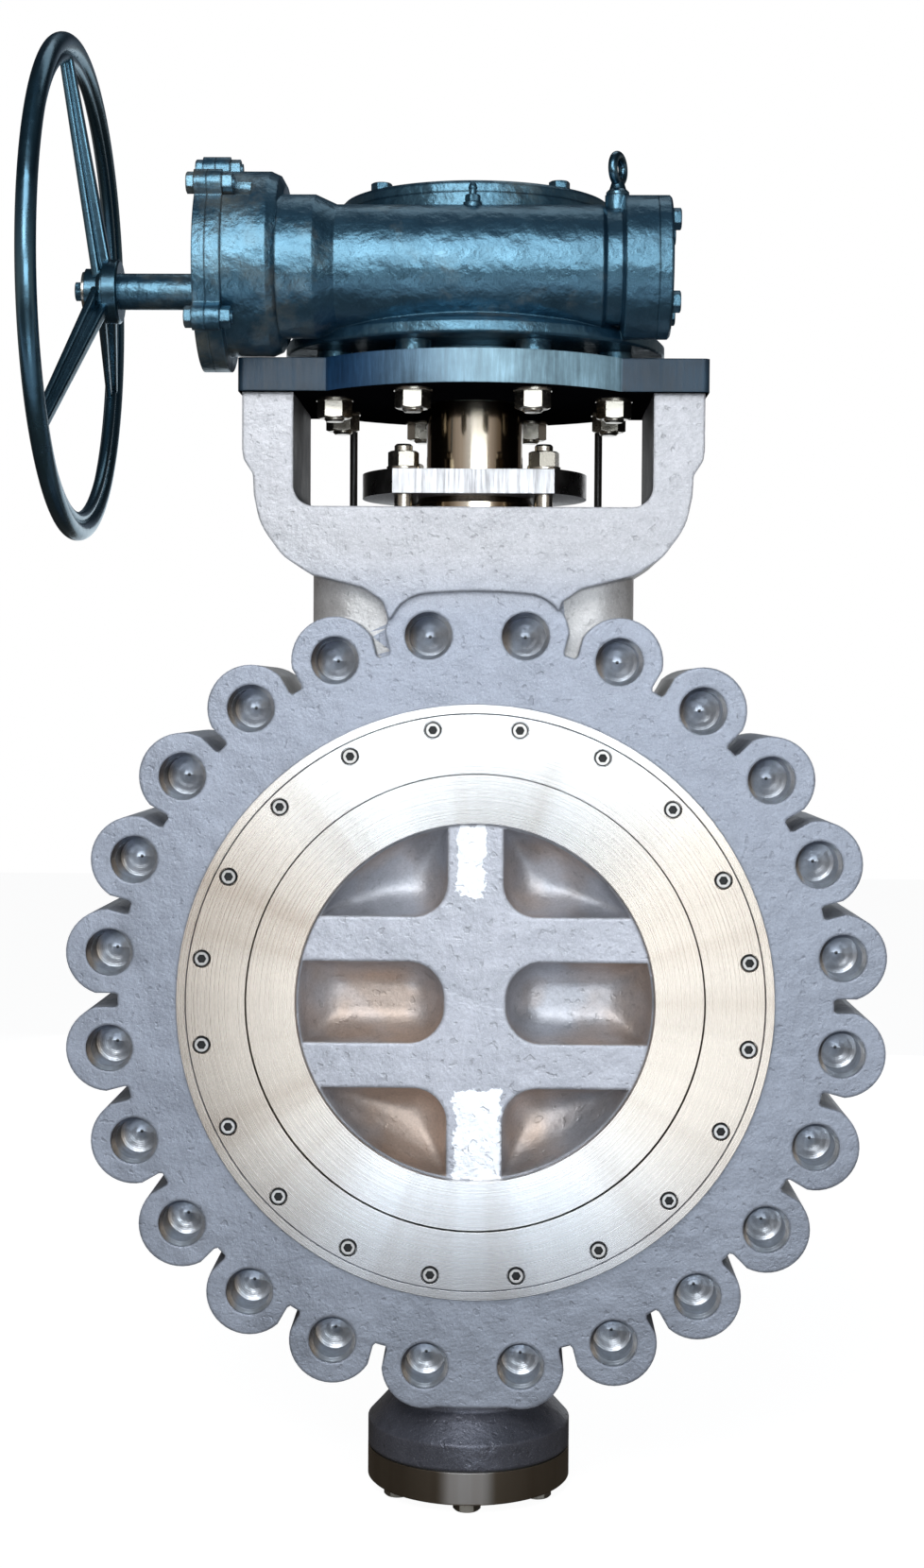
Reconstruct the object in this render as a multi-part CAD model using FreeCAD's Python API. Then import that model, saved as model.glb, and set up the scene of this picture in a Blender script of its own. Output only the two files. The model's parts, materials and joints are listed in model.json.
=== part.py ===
import FreeCAD, Part
import math
import os

os.makedirs("parts", exist_ok=True)
V = FreeCAD.Vector

# Double offset butterfly valve, size 20 inch, class 600, lugged body, with worm gearbox.
# The origin is where the pipe axis meets the front lug face. +Y runs through the valve
# along the pipe, +Z runs up the stem to the gearbox and the handwheel is on the -X side.

# Pipe connection
BOLT_CIRCLE_D = 723.9
LUG_COUNT = 24
LUG_HOLE_D = 41.28
LUG_DRILL_D = 39.2
LUG_MOUTH_D = 46.2
LUG_MOUTH_DEPTH = 4.0
LUG_HOLE_DEPTH = 39.0
LUG_R = 42.5
LUG_FACE_LENGTH = 202.0
RAISED_FACE_D = 584.2
RAISED_FACE_H = 7.0
RING_R = 350.5
NOTCH_W = 14.0

# Stem line
STEM_X = -5.0
STEM_Y = 97.0
STEM_D = 97.0
RUNNING_FIT = 0.05
FIXED_FIT = 0.05

# Disc and seat
DISC_FACE_Y = -2.0
DISC_EDGE_R = 224.0
DISC_EDGE_Y = 30.0
DISC_STEP = 4.0
DISC_STEP_R = 175.0
MID_POCKET_X = 30.0
MID_POCKET_Z = 40.5
END_POCKET_X = 27.0
END_POCKET_Z = 84.0
SEAT_GAP = 0.35
LIP_GAP = 1.0
SEAT_WIDTH = 38.0
SEAT_T = 14.0
SEAT_GASKET_T = 1.5
RETAINER_T = 20.0
RETAINER_SCREWS = 20
SCREW_WALL = 8.4
RETAINER_RIM = 13.1
HUB_INSET = 5.9
CAVITY_GAP = 7.1

# Yoke and deck
DECK_Z = 483.5
YOKE_FRONT_Y = -8.0
YOKE_BACK_Y = 190.0
ARM_OUT = 223.5
ARM_IN = 174.0
PLATE_Z = 593.0
PLATE_T = 32.0
PLATE_R = 182.5
PLATE_WING_X = 227.0
PLATE_WING_Y = 115.0
PACKING_BOX_R = 60.0
PACKING_BOX_Z = 400.0
PAD_HALF_W = 85.0
PAD_TOP_Z = 403.0
TIE_ROD_D = 8.0

# Gland
GLAND_Z = 498.5
GLAND_T = 24.0
GLAND_R = 113.0
GLAND_FLAT = 80.5
GLAND_STUD_X = 69.0
GLAND_STUD_Y = 64.0
GLAND_STUD_D = 18.0

# Bottom closure
BOTTOM_Z = -462.0
BOTTOM_R = 103.0
BOTTOM_NECK_R = 79.5
BOTTOM_GASKET_T = 2.0
COVER_T = 32.5
COVER_BOLT_R = 81.5
COVER_BOLTS = 6

# Gearbox
WORM_Y = -40.0
WORM_Z = 707.0
WORM_MODULE = 5.0
WHEEL_TEETH = 44
SPUR_MODULE = 2.5
GEAR_TEETH = 33
PINION_TEETH = 16
SPUR_TILT = 12.8
PRESSURE_ANGLE = 20.0
CASE_R = 136.0
CASE_TOP_Z = 779.0
FOOT_H = 13.0
BASE_R = 190.0
BASE_T = 15.0
TUBE_R = 58.0
BOSS_R = 67.0
SPUR_CASE_R = 87.0
SPUR_FLANGE_R = 94.0
SPUR_CASE_Y = -14.0
SPUR_CASE_Z = 713.6
SPUR_FLANGE_Z = 705.6
HOUSING_BORE_R = 65.0
MOUNT_PCD = 298.0
MOUNT_STUDS = 8

# Handwheel
WHEEL_X = -396.0
WHEEL_R = 242.5
RIM_TUBE_R = 9.5
RIM_BEAD_R = 5.5
HUB_X0 = -384.0
HUB_X1 = -350.5
INPUT_D = 35.0

AXIS_X = V(1, 0, 0)
AXIS_Y = V(0, 1, 0)
AXIS_Z = V(0, 0, 1)
PLATE_TOP_Z = PLATE_Z + PLATE_T
FRONT_FACE_Y = -RAISED_FACE_H
BACK_FACE_Y = LUG_FACE_LENGTH + RAISED_FACE_H
STEM_R = STEM_D / 2
HOLE_CIRCLE_R = BOLT_CIRCLE_D / 2
LUG_STEP = 360.0 / LUG_COUNT
WHEEL_PITCH_R = WORM_MODULE * WHEEL_TEETH / 2
WORM_PITCH_R = STEM_Y - WORM_Y - WHEEL_PITCH_R
SPUR_CENTRES = SPUR_MODULE * (GEAR_TEETH + PINION_TEETH) / 2
INPUT_Y = WORM_Y + SPUR_CENTRES * math.cos(math.radians(SPUR_TILT))
INPUT_Z = WORM_Z - SPUR_CENTRES * math.sin(math.radians(SPUR_TILT))
SPHERE_R = math.hypot(DISC_EDGE_R, STEM_Y - DISC_FACE_Y)
CAVITY_R = SPHERE_R + CAVITY_GAP
RETAINER_LIP_R = DISC_EDGE_R + LIP_GAP
SEAT_R = DISC_EDGE_R + SEAT_WIDTH
RETAINER_SCREW_R = SEAT_R + SCREW_WALL
RETAINER_R = RETAINER_SCREW_R + RETAINER_RIM
STEM_TOP_Z = CASE_TOP_Z - 11
BASE_TOP_Z = PLATE_TOP_Z + FOOT_H + BASE_T


def save(name, shape):
    shape.exportStep("parts/%s.step" % name)


def cylinder(radius, length, base, axis=AXIS_Z):
    return Part.makeCylinder(radius, length, V(*base), axis)


def tube(outer, inner, length, base, axis=AXIS_Z):
    blank = cylinder(outer, length, base, axis)
    start = V(*base) - axis
    return blank.cut(Part.makeCylinder(inner, length + 2, start, axis))


def box(x0, x1, y0, y1, z0, z1):
    return Part.makeBox(x1 - x0, y1 - y0, z1 - z0, V(x0, y0, z0))


def fuse(shapes):
    return shapes[0].fuse(shapes[1:]).removeSplitter()


def group(shapes):
    return Part.makeCompound(shapes)


def at_angle(radius, degrees):
    return radius * math.sin(math.radians(degrees)), radius * math.cos(math.radians(degrees))


# A closed outline from corners (u, v, corner radius). place(u, v) puts a corner in space.
def rounded_wire(corners, place):
    edges = []
    ends = []
    count = len(corners)
    for i, (u, v, radius) in enumerate(corners):
        here = V(u, v, 0)
        before = (V(corners[i - 1][0], corners[i - 1][1], 0) - here).normalize()
        after = (V(corners[(i + 1) % count][0], corners[(i + 1) % count][1], 0) - here).normalize()
        if radius == 0:
            ends.append((here, None, here))
            continue
        half = before.getAngle(after) / 2
        bisector = (before + after).normalize()
        centre = here + bisector * (radius / math.sin(half))
        reach = radius / math.tan(half)
        ends.append((here + before * reach, centre - bisector * radius, here + after * reach))
    for i, (start, middle, end) in enumerate(ends):
        if middle is not None:
            edges.append(Part.Arc(place(start), place(middle), place(end)).toShape())
        following = ends[(i + 1) % count][0]
        if (following - end).Length > 1e-6:
            edges.append(Part.makeLine(place(end), place(following)))
    return Part.Wire(edges)


def extrude_y(corners, y0, y1):
    wire = rounded_wire(corners, lambda p: V(p.x, y0, p.y))
    return Part.Face(wire).extrude(V(0, y1 - y0, 0))


def extrude_z(corners, z0, z1):
    wire = rounded_wire(corners, lambda p: V(p.x, p.y, z0))
    return Part.Face(wire).extrude(V(0, 0, z1 - z0))


# Turned shapes. Each profile is a closed list of (radius, station) pairs.
def turned_y(profile, x=0.0, z=0.0):
    points = [V(x + r, y, z) for r, y in profile]
    face = Part.Face(Part.makePolygon(points + [points[0]]))
    return face.revolve(V(x, 0, z), AXIS_Y, 360)


def turned_z(profile, x=STEM_X, y=STEM_Y):
    points = [V(x + r, y, z) for r, z in profile]
    face = Part.Face(Part.makePolygon(points + [points[0]]))
    return face.revolve(V(x, y, 0), AXIS_Z, 360)


def turned_x(profile, y, z):
    points = [V(x, y + r, z) for r, x in profile]
    face = Part.Face(Part.makePolygon(points + [points[0]]))
    return face.revolve(V(0, y, z), AXIS_X, 360)


# Fasteners
def hexagon(flats, height, base, axis, turn=0.0):
    base = V(*base)
    corner = flats / math.sqrt(3)
    points = []
    for i in range(7):
        angle = math.radians(60 * i + turn)
        points.append(V(corner * math.cos(angle), corner * math.sin(angle), 0))
    prism = Part.Face(Part.makePolygon(points)).extrude(V(0, 0, height))
    crown = Part.makeCone(corner + height * 1.7, flats * 0.48, height, V(0, 0, 0), V(0, 0, 1))
    blank = prism.common(crown)
    blank.Placement = FreeCAD.Placement(base, FreeCAD.Rotation(V(0, 0, 1), axis))
    return blank


def hex_bolt(size, length, base, axis, turn=0.0):
    head = hexagon(size * 1.5, size * 0.64, base, axis, turn)
    shank = Part.makeCylinder(size / 2, length, V(*base), axis * -1)
    return head.fuse(shank)


def hex_nut(size, base, axis, turn=0.0):
    blank = hexagon(size * 1.5, size * 0.85, base, axis, turn)
    start = V(*base) - axis
    return blank.cut(Part.makeCylinder(size / 2 + FIXED_FIT, size * 2, start, axis))


def washer(size, base, axis):
    return tube(size * 0.92, size / 2 + FIXED_FIT, size * 0.15, base, axis)


def stud(size, length, base, axis):
    plain = Part.makeCylinder(size / 2, length - size * 0.1, V(*base), axis)
    end = V(*base) + axis * (length - size * 0.1)
    return plain.fuse(Part.makeCone(size / 2, size * 0.4, size * 0.1, end, axis))


def socket_screw(size, length, base, axis):
    head = Part.makeCylinder(size * 0.8, size, V(*base), axis)
    key = hexagon(size * 0.8, size * 2, V(*base) + axis * (size * 0.45), axis)
    shank = Part.makeCylinder(size / 2, length, V(*base), axis * -1)
    return head.fuse(shank).cut(key)


# Body casting
def pad_outline(grow=0.0):
    half = PAD_HALF_W + grow
    side_z = PAD_TOP_Z - 8 + grow
    return [(-half, 300, 0), (-half, side_z, 40), (0, PAD_TOP_Z + grow, 500), (half, side_z, 40),
            (half, 300, 0)]


def lug_ring():
    bodies = [cylinder(RING_R, LUG_FACE_LENGTH, (0, 0, 0), AXIS_Y)]
    notches = []
    for i in range(LUG_COUNT):
        x, z = at_angle(HOLE_CIRCLE_R, LUG_STEP * (i + 0.5))
        bodies.append(cylinder(LUG_R, LUG_FACE_LENGTH, (x, 0, z), AXIS_Y))
        if i % (LUG_COUNT // 2) == 0:
            continue
        half = NOTCH_W / 2
        corners = [(-half, RING_R, 4), (half, RING_R, 4), (half, RING_R + 25, 0), (-half, RING_R + 25, 0)]
        slot = extrude_y(corners, -1, LUG_FACE_LENGTH + 1)
        slot.rotate(V(0, 0, 0), AXIS_Y, LUG_STEP * i)
        notches.append(slot)
    upper_pad = extrude_y(pad_outline(), 0, LUG_FACE_LENGTH)
    lower_pad = upper_pad.copy()
    lower_pad.rotate(V(0, 0, 0), AXIS_Y, 180)
    ring = bodies[0].fuse(bodies[1:]).cut(notches)
    faces = cylinder(RAISED_FACE_D / 2, BACK_FACE_Y - FRONT_FACE_Y, (0, FRONT_FACE_Y, 0), AXIS_Y)
    return ring.fuse([upper_pad, lower_pad, faces])


def yoke():
    half = [(222, 528, 12), (213, 514, 10), (212, 494, 20), (206, 465, 60), (184, 435, 40), (158, 418, 30),
            (106, 405, 14), (87, 392, 8), (81, 375, 0)]
    right = [(ARM_IN, DECK_Z, 20), (ARM_IN, PLATE_Z, 0), (ARM_OUT, PLATE_Z, 0), (ARM_OUT, 538, 10)] + half
    left = [(-x, z, r) for x, z, r in reversed(right)]
    outline = [(STEM_X + x, z, r) for x, z, r in right + left]
    frame = extrude_y(outline, YOKE_FRONT_Y, YOKE_BACK_Y)
    flat_front = extrude_y(pad_outline(1.5), YOKE_FRONT_Y - 1, 0)
    trunk_corners = [(STEM_X - 160, 22, 45), (STEM_X + 160, 22, 45), (STEM_X + 160, 176, 45),
                     (STEM_X - 160, 176, 45)]
    trunk = extrude_z(trunk_corners, 290, DECK_Z - 30)
    return frame.cut(flat_front).fuse(trunk)


def bottom_neck():
    profile = [(0, -330), (BOTTOM_NECK_R, -330), (BOTTOM_NECK_R, -411), (BOTTOM_R, -437),
               (BOTTOM_R, BOTTOM_Z), (0, BOTTOM_Z)]
    return turned_z(profile)


# The cavity behind the seat is part of a ball round the stem line.
def waterway():
    def ball_radius(y):
        return math.sqrt(CAVITY_R ** 2 - (y - STEM_Y) ** 2)

    seat_y = FRONT_FACE_Y + RETAINER_T
    floor_y = seat_y + SEAT_T + SEAT_GASKET_T
    points = [(0, FRONT_FACE_Y - 1), (RETAINER_R + 0.3, FRONT_FACE_Y - 1), (RETAINER_R + 0.3, seat_y),
              (SEAT_R + 0.3, seat_y), (SEAT_R + 0.3, floor_y), (ball_radius(floor_y), floor_y)]
    edges = []
    for (r0, y0), (r1, y1) in zip(points, points[1:]):
        edges.append(Part.makeLine(V(r0, y0, 0), V(r1, y1, 0)))
    ball_start = V(ball_radius(floor_y), floor_y, 0)
    ball_end = V(ball_radius(BACK_FACE_Y), BACK_FACE_Y, 0)
    edges.append(Part.Arc(ball_start, V(CAVITY_R, STEM_Y, 0), ball_end).toShape())
    past = V(ball_end.x, BACK_FACE_Y + 1, 0)
    edges.append(Part.makeLine(ball_end, past))
    edges.append(Part.makeLine(past, V(0, BACK_FACE_Y + 1, 0)))
    edges.append(Part.makeLine(V(0, BACK_FACE_Y + 1, 0), V(0, FRONT_FACE_Y - 1, 0)))
    return Part.Face(Part.Wire(edges)).revolve(V(0, 0, 0), AXIS_Y, 360)


BEARING_R = STEM_R + 8
BEARING_IN_Z = CAVITY_R + 2
BEARING_OUT_Z = 392.0
THRUST_R = 60.0
STEM_END_Z = -441.0


def stem_bores():
    inside = CAVITY_R - 50
    upper = [(0, inside), (BEARING_R, inside), (BEARING_R, BEARING_OUT_Z), (STEM_R + 1.5, BEARING_OUT_Z),
             (STEM_R + 1.5, PACKING_BOX_Z), (PACKING_BOX_R, PACKING_BOX_Z), (PACKING_BOX_R, DECK_Z + 1),
             (0, DECK_Z + 1)]
    lower = [(0, -inside), (BEARING_R, -inside), (BEARING_R, -BEARING_OUT_Z), (STEM_R + 1.5, -BEARING_OUT_Z),
             (STEM_R + 1.5, -410), (THRUST_R + 2, -410), (THRUST_R + 2, BOTTOM_Z - 1), (0, BOTTOM_Z - 1)]
    return [turned_z(upper), turned_z(lower)]


# Blind stud holes. Those of the front are relieved at the mouth and end in the cone of the drill.
def lug_holes():
    holes = []
    mouth = LUG_MOUTH_D / 2
    drill = LUG_DRILL_D / 2
    plain = LUG_HOLE_D / 2
    cone = math.tan(math.radians(59))
    back_y = LUG_FACE_LENGTH - LUG_HOLE_DEPTH
    for i in range(LUG_COUNT):
        x, z = at_angle(HOLE_CIRCLE_R, LUG_STEP * (i + 0.5))
        front = [(0, -1), (mouth, -1), (mouth, LUG_MOUTH_DEPTH), (drill, LUG_MOUTH_DEPTH + mouth - drill),
                 (drill, LUG_HOLE_DEPTH), (0, LUG_HOLE_DEPTH + drill / cone)]
        back = [(0, LUG_FACE_LENGTH + 1), (plain, LUG_FACE_LENGTH + 1), (plain, back_y),
                (0, back_y - plain / cone)]
        holes += [turned_y(front, x, z), turned_y(back, x, z)]
    return holes


def around_circle(count, radius, start=0.0):
    for i in range(count):
        angle = math.radians(start + 360.0 * i / count)
        yield radius * math.cos(angle), radius * math.sin(angle)


def retainer_screw_places():
    for i in range(RETAINER_SCREWS):
        yield at_angle(RETAINER_SCREW_R, 360.0 / RETAINER_SCREWS * (i + 0.5))


def gland_stud_places():
    for sx in (-1, 1):
        for sy in (-1, 1):
            yield STEM_X + sx * GLAND_STUD_X, STEM_Y + sy * GLAND_STUD_Y


def cover_bolt_places():
    for dx, dy in around_circle(COVER_BOLTS, COVER_BOLT_R, -90):
        yield STEM_X + dx, STEM_Y + dy


ADAPTER_SCREW_X = 199.0
ADAPTER_SCREW_Y = 62.0
ADAPTER_SCREW = 20.0


def adapter_screw_places():
    for sx in (-1, 1):
        for sy in (-1, 1):
            yield STEM_X + sx * ADAPTER_SCREW_X, STEM_Y - 6 + sy * ADAPTER_SCREW_Y


def body_casting():
    casting = fuse([lug_ring(), yoke(), bottom_neck()])
    cuts = [waterway()] + stem_bores() + lug_holes()
    for x, z in retainer_screw_places():
        cuts.append(cylinder(5 + FIXED_FIT, 40, (x, 0, z), AXIS_Y))
    for x, y in gland_stud_places():
        cuts.append(cylinder(GLAND_STUD_D / 2 + FIXED_FIT, 40, (x, y, DECK_Z - 38)))
    for x, y in cover_bolt_places():
        cuts.append(cylinder(8 + FIXED_FIT, 32, (x, y, BOTTOM_Z - 1)))
    for x, y in adapter_screw_places():
        cuts.append(cylinder(ADAPTER_SCREW / 2 + FIXED_FIT, 46, (x, y, PLATE_Z - 45)))
    return casting.cut(cuts)


save("body_casting", body_casting())


# Seat group
def ball_edge(radius, y):
    return math.sqrt(radius ** 2 - (y - STEM_Y) ** 2)


def seat_retainer():
    inner = SPHERE_R + SEAT_GAP + 0.65
    back_y = FRONT_FACE_Y + RETAINER_T
    lip_y = STEM_Y - math.sqrt(inner ** 2 - RETAINER_LIP_R ** 2)
    edges = [Part.makeLine(V(RETAINER_LIP_R, FRONT_FACE_Y, 0), V(RETAINER_R - 1, FRONT_FACE_Y, 0)),
             Part.makeLine(V(RETAINER_R - 1, FRONT_FACE_Y, 0), V(RETAINER_R, FRONT_FACE_Y + 1, 0)),
             Part.makeLine(V(RETAINER_R, FRONT_FACE_Y + 1, 0), V(RETAINER_R, back_y, 0)),
             Part.makeLine(V(RETAINER_R, back_y, 0), V(ball_edge(inner, back_y), back_y, 0))]
    middle_y = (lip_y + back_y) / 2
    start = V(ball_edge(inner, back_y), back_y, 0)
    end = V(RETAINER_LIP_R, lip_y, 0)
    edges.append(Part.Arc(start, V(ball_edge(inner, middle_y), middle_y, 0), end).toShape())
    edges.append(Part.makeLine(end, V(RETAINER_LIP_R, FRONT_FACE_Y, 0)))
    ring = Part.Face(Part.Wire(edges)).revolve(V(0, 0, 0), AXIS_Y, 360)
    cuts = []
    for x, z in retainer_screw_places():
        cuts.append(cylinder(9, 11, (x, FRONT_FACE_Y - 1, z), AXIS_Y))
        cuts.append(cylinder(5.5, 30, (x, FRONT_FACE_Y - 1, z), AXIS_Y))
    return ring.cut(cuts)


def seat_ring():
    radius = SPHERE_R + SEAT_GAP
    y0 = FRONT_FACE_Y + RETAINER_T
    y1 = y0 + SEAT_T
    start = V(ball_edge(radius, y0), y0, 0)
    middle = V(ball_edge(radius, (y0 + y1) / 2), (y0 + y1) / 2, 0)
    end = V(ball_edge(radius, y1), y1, 0)
    edges = [Part.Arc(start, middle, end).toShape(), Part.makeLine(end, V(SEAT_R, y1, 0)),
             Part.makeLine(V(SEAT_R, y1, 0), V(SEAT_R, y0, 0)), Part.makeLine(V(SEAT_R, y0, 0), start)]
    return Part.Face(Part.Wire(edges)).revolve(V(0, 0, 0), AXIS_Y, 360)


save("seat_retainer", seat_retainer())
save("seat_ring", seat_ring())
GASKET_Y = FRONT_FACE_Y + RETAINER_T + SEAT_T
save("seat_gasket", tube(SEAT_R - 0.5, ball_edge(CAVITY_R, GASKET_Y) + 3.5, SEAT_GASKET_T, (0, GASKET_Y, 0),
                         AXIS_Y))
screws = []
for x, z in retainer_screw_places():
    screws.append(socket_screw(10, 28, (x, FRONT_FACE_Y + 10, z), AXIS_Y * -1))
save("retainer_screws", group(screws))


# Disc
def disc_blank():
    hub_r = 74.0
    web_y = DISC_FACE_Y + DISC_STEP
    edge = [(0, web_y), (DISC_STEP_R, web_y), (DISC_STEP_R + 1.5, DISC_FACE_Y), (DISC_EDGE_R, DISC_FACE_Y)]
    edges = [Part.makeLine(V(a[0], a[1], 0), V(b[0], b[1], 0)) for a, b in zip(edge, edge[1:])]
    start = V(DISC_EDGE_R, DISC_FACE_Y, 0)
    middle = V(ball_edge(SPHERE_R, DISC_EDGE_Y / 2), DISC_EDGE_Y / 2, 0)
    end = V(ball_edge(SPHERE_R, DISC_EDGE_Y), DISC_EDGE_Y, 0)
    edges.append(Part.Arc(start, middle, end).toShape())
    back = [(end.x, DISC_EDGE_Y), (end.x - 12, DISC_EDGE_Y + 14), (150, 62), (0, 62), (0, web_y)]
    edges += [Part.makeLine(V(a[0], a[1], 0), V(b[0], b[1], 0)) for a, b in zip(back, back[1:])]
    plate = Part.Face(Part.Wire(edges)).revolve(V(0, 0, 0), AXIS_Y, 360)
    hubs = []
    for z0, z1 in ((62, 236), (-236, -62)):
        hubs.append(cylinder(hub_r, z1 - z0, (STEM_X, STEM_Y, z0)))
        hubs.append(box(STEM_X - hub_r, STEM_X + hub_r, 50, STEM_Y, z0, z1))
        rib = [(STEM_X - 196, 52, 0), (STEM_X - 60, 118, 20), (STEM_X + 60, 118, 20), (STEM_X + 206, 52, 0)]
        middle_z = (z0 + z1) / 2
        hubs.append(extrude_z(rib, middle_z - 15, middle_z + 15))
    trim = Part.makeSphere(SPHERE_R - HUB_INSET, V(0, STEM_Y, 0))
    return plate.fuse([hub.common(trim) for hub in hubs]).removeSplitter()


# Deep smooth pockets between the ribs of the disc front. Their walls curve inward with depth.
def disc_pockets():
    top_y = DISC_FACE_Y + DISC_STEP
    steps = [(top_y - 1, 0), (top_y + 3, 0.6), (top_y + 17, 4), (top_y + 30, 11), (top_y + 38, 19),
             (top_y + 42, 27)]
    rim = [(DISC_STEP_R - 1.5 - inset * 1.4, y) for y, inset in steps]
    limit = turned_y([(0, steps[0][0])] + rim + [(0, steps[-1][0])])
    out = DISC_STEP_R + 15
    pockets = []
    for side in (-1, 1):
        for end in (-1, 0, 1):
            wires = []
            for y, inset in steps:
                near_x = side * (MID_POCKET_X + inset)
                corners = [(near_x, inset - MID_POCKET_Z, 36 - inset),
                           (near_x, MID_POCKET_Z - inset, 36 - inset),
                           (side * out, MID_POCKET_Z - inset, 0), (side * out, inset - MID_POCKET_Z, 0)]
                if end:
                    near_x = side * (END_POCKET_X + inset)
                    near_z = end * (END_POCKET_Z + inset)
                    corners = [(near_x, near_z, 34 - inset), (near_x, end * out, 0),
                               (side * out, end * out, 0), (side * out, near_z, 0)]
                wires.append(rounded_wire(corners, lambda p: V(p.x, y, p.y)))
            pockets.append(Part.makeLoft(wires, True).common(limit))
    return pockets


DISC_PIN_R = 11.0
DISC_PIN_Z = (-190.0, -108.0, 108.0, 190.0)


def pin_holes(fit):
    return [cylinder(DISC_PIN_R + fit, 140, (STEM_X, STEM_Y - 56, z), AXIS_Y) for z in DISC_PIN_Z]


def disc():
    shape = disc_blank().cut(disc_pockets())
    bore = cylinder(STEM_R + FIXED_FIT, 520, (STEM_X, STEM_Y, -260))
    return shape.cut([bore] + pin_holes(FIXED_FIT))


save("disc", disc())
save("disc_pins", group([cylinder(DISC_PIN_R, 134, (STEM_X, STEM_Y - 55, z), AXIS_Y) for z in DISC_PIN_Z]))

# Stem, with a key at the gearbox end
KEY_W = 25.0
KEY_Z0 = 665.0
KEY_Z1 = 760.0
stem = turned_z([(0, STEM_END_Z), (STEM_R - 2, STEM_END_Z), (STEM_R, STEM_END_Z + 2),
                 (STEM_R, STEM_TOP_Z - 2), (STEM_R - 2, STEM_TOP_Z), (0, STEM_TOP_Z)])
key_seat = box(STEM_X - KEY_W / 2 - FIXED_FIT, STEM_X + KEY_W / 2 + FIXED_FIT, STEM_Y + STEM_R - 9,
               STEM_Y + STEM_R + 5, KEY_Z0, KEY_Z1)
save("stem", stem.cut(pin_holes(FIXED_FIT) + [key_seat]))
save("stem_key", box(STEM_X - KEY_W / 2, STEM_X + KEY_W / 2, STEM_Y + STEM_R - 9, STEM_Y + STEM_R + 4.5,
                     KEY_Z0, KEY_Z1))

# Stem bearings, packing and gland
for name, z0 in (("upper_stem_bearing", BEARING_IN_Z), ("lower_stem_bearing", -BEARING_OUT_Z)):
    save(name, tube(BEARING_R - FIXED_FIT, STEM_R + RUNNING_FIT, BEARING_OUT_Z - BEARING_IN_Z,
                    (STEM_X, STEM_Y, z0)))

PACKING_RINGS = 5
PACKING_H = 10.5
SPACER_H = 6.0
save("packing_spacer", tube(PACKING_BOX_R - FIXED_FIT, STEM_R + 0.6, SPACER_H,
                            (STEM_X, STEM_Y, PACKING_BOX_Z)))
rings = []
for i in range(PACKING_RINGS):
    z = PACKING_BOX_Z + SPACER_H + i * PACKING_H
    rings.append(tube(PACKING_BOX_R - FIXED_FIT, STEM_R + RUNNING_FIT, PACKING_H, (STEM_X, STEM_Y, z)))
save("packing_rings", group(rings))
follower_z = PACKING_BOX_Z + SPACER_H + PACKING_RINGS * PACKING_H
save("gland_follower", turned_z([(STEM_R + 0.6, follower_z), (PACKING_BOX_R - 0.2, follower_z),
                                 (PACKING_BOX_R - 0.2, GLAND_Z - 6), (PACKING_BOX_R - 4, GLAND_Z),
                                 (STEM_R + 0.6, GLAND_Z)]))
gland = tube(GLAND_R, STEM_R + 0.6, GLAND_T, (STEM_X, STEM_Y, GLAND_Z))
gland = gland.common(box(STEM_X - 150, STEM_X + 150, STEM_Y - GLAND_FLAT, STEM_Y + GLAND_FLAT, GLAND_Z - 1,
                         GLAND_Z + GLAND_T + 1))
holes = [cylinder(GLAND_STUD_D / 2 + 1, GLAND_T + 2, (x, y, GLAND_Z - 1)) for x, y in gland_stud_places()]
save("gland_flange", gland.cut(holes))
GLAND_TOP_Z = GLAND_Z + GLAND_T
NUT_SEAT_Z = GLAND_TOP_Z + GLAND_STUD_D * 0.15
save("gland_studs", group([stud(GLAND_STUD_D, 100, (x, y, DECK_Z - 36), AXIS_Z)
                           for x, y in gland_stud_places()]))
save("gland_nuts", group([hex_nut(GLAND_STUD_D, (x, y, NUT_SEAT_Z), AXIS_Z, 15)
                          for x, y in gland_stud_places()]))
save("gland_washers", group([washer(GLAND_STUD_D, (x, y, GLAND_TOP_Z), AXIS_Z)
                             for x, y in gland_stud_places()]))

# Bottom closure
gasket = tube(BOTTOM_R - 2, THRUST_R + 2, BOTTOM_GASKET_T, (STEM_X, STEM_Y, BOTTOM_Z - BOTTOM_GASKET_T))
bolt_holes = [cylinder(8.5, 60, (x, y, BOTTOM_Z - 50)) for x, y in cover_bolt_places()]
save("bottom_gasket", gasket.cut(bolt_holes))
COVER_Z = BOTTOM_Z - BOTTOM_GASKET_T - COVER_T
SPIGOT_Z = -455.0
cover = turned_z([(0, COVER_Z), (BOTTOM_R - 1.5, COVER_Z), (BOTTOM_R, COVER_Z + 1.5),
                  (BOTTOM_R, COVER_Z + COVER_T), (THRUST_R + 1.5, COVER_Z + COVER_T),
                  (THRUST_R + 1.5, SPIGOT_Z), (0, SPIGOT_Z)])
save("bottom_cover", cover.cut(bolt_holes))
save("bottom_bolts", group([hex_bolt(16, 54, (x, y, COVER_Z), AXIS_Z * -1, 0)
                            for x, y in cover_bolt_places()]))
save("thrust_bearing", tube(THRUST_R, 18, STEM_END_Z - RUNNING_FIT - SPIGOT_Z, (STEM_X, STEM_Y, SPIGOT_Z)))

# Slim rods between deck and plate at the back of the yoke window
TIE_ROD_X = 128.0
TIE_ROD_Y = 181.0
rods = [cylinder(TIE_ROD_D / 2, PLATE_Z - DECK_Z, (STEM_X + side * TIE_ROD_X, TIE_ROD_Y, DECK_Z))
        for side in (-1, 1)]
save("tie_rods", group(rods))

# Adapter plate between the yoke and the gearbox
def mount_stud_places():
    for dx, dy in around_circle(MOUNT_STUDS, MOUNT_PCD / 2, 22.5):
        yield STEM_X + dx, STEM_Y + dy


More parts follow.
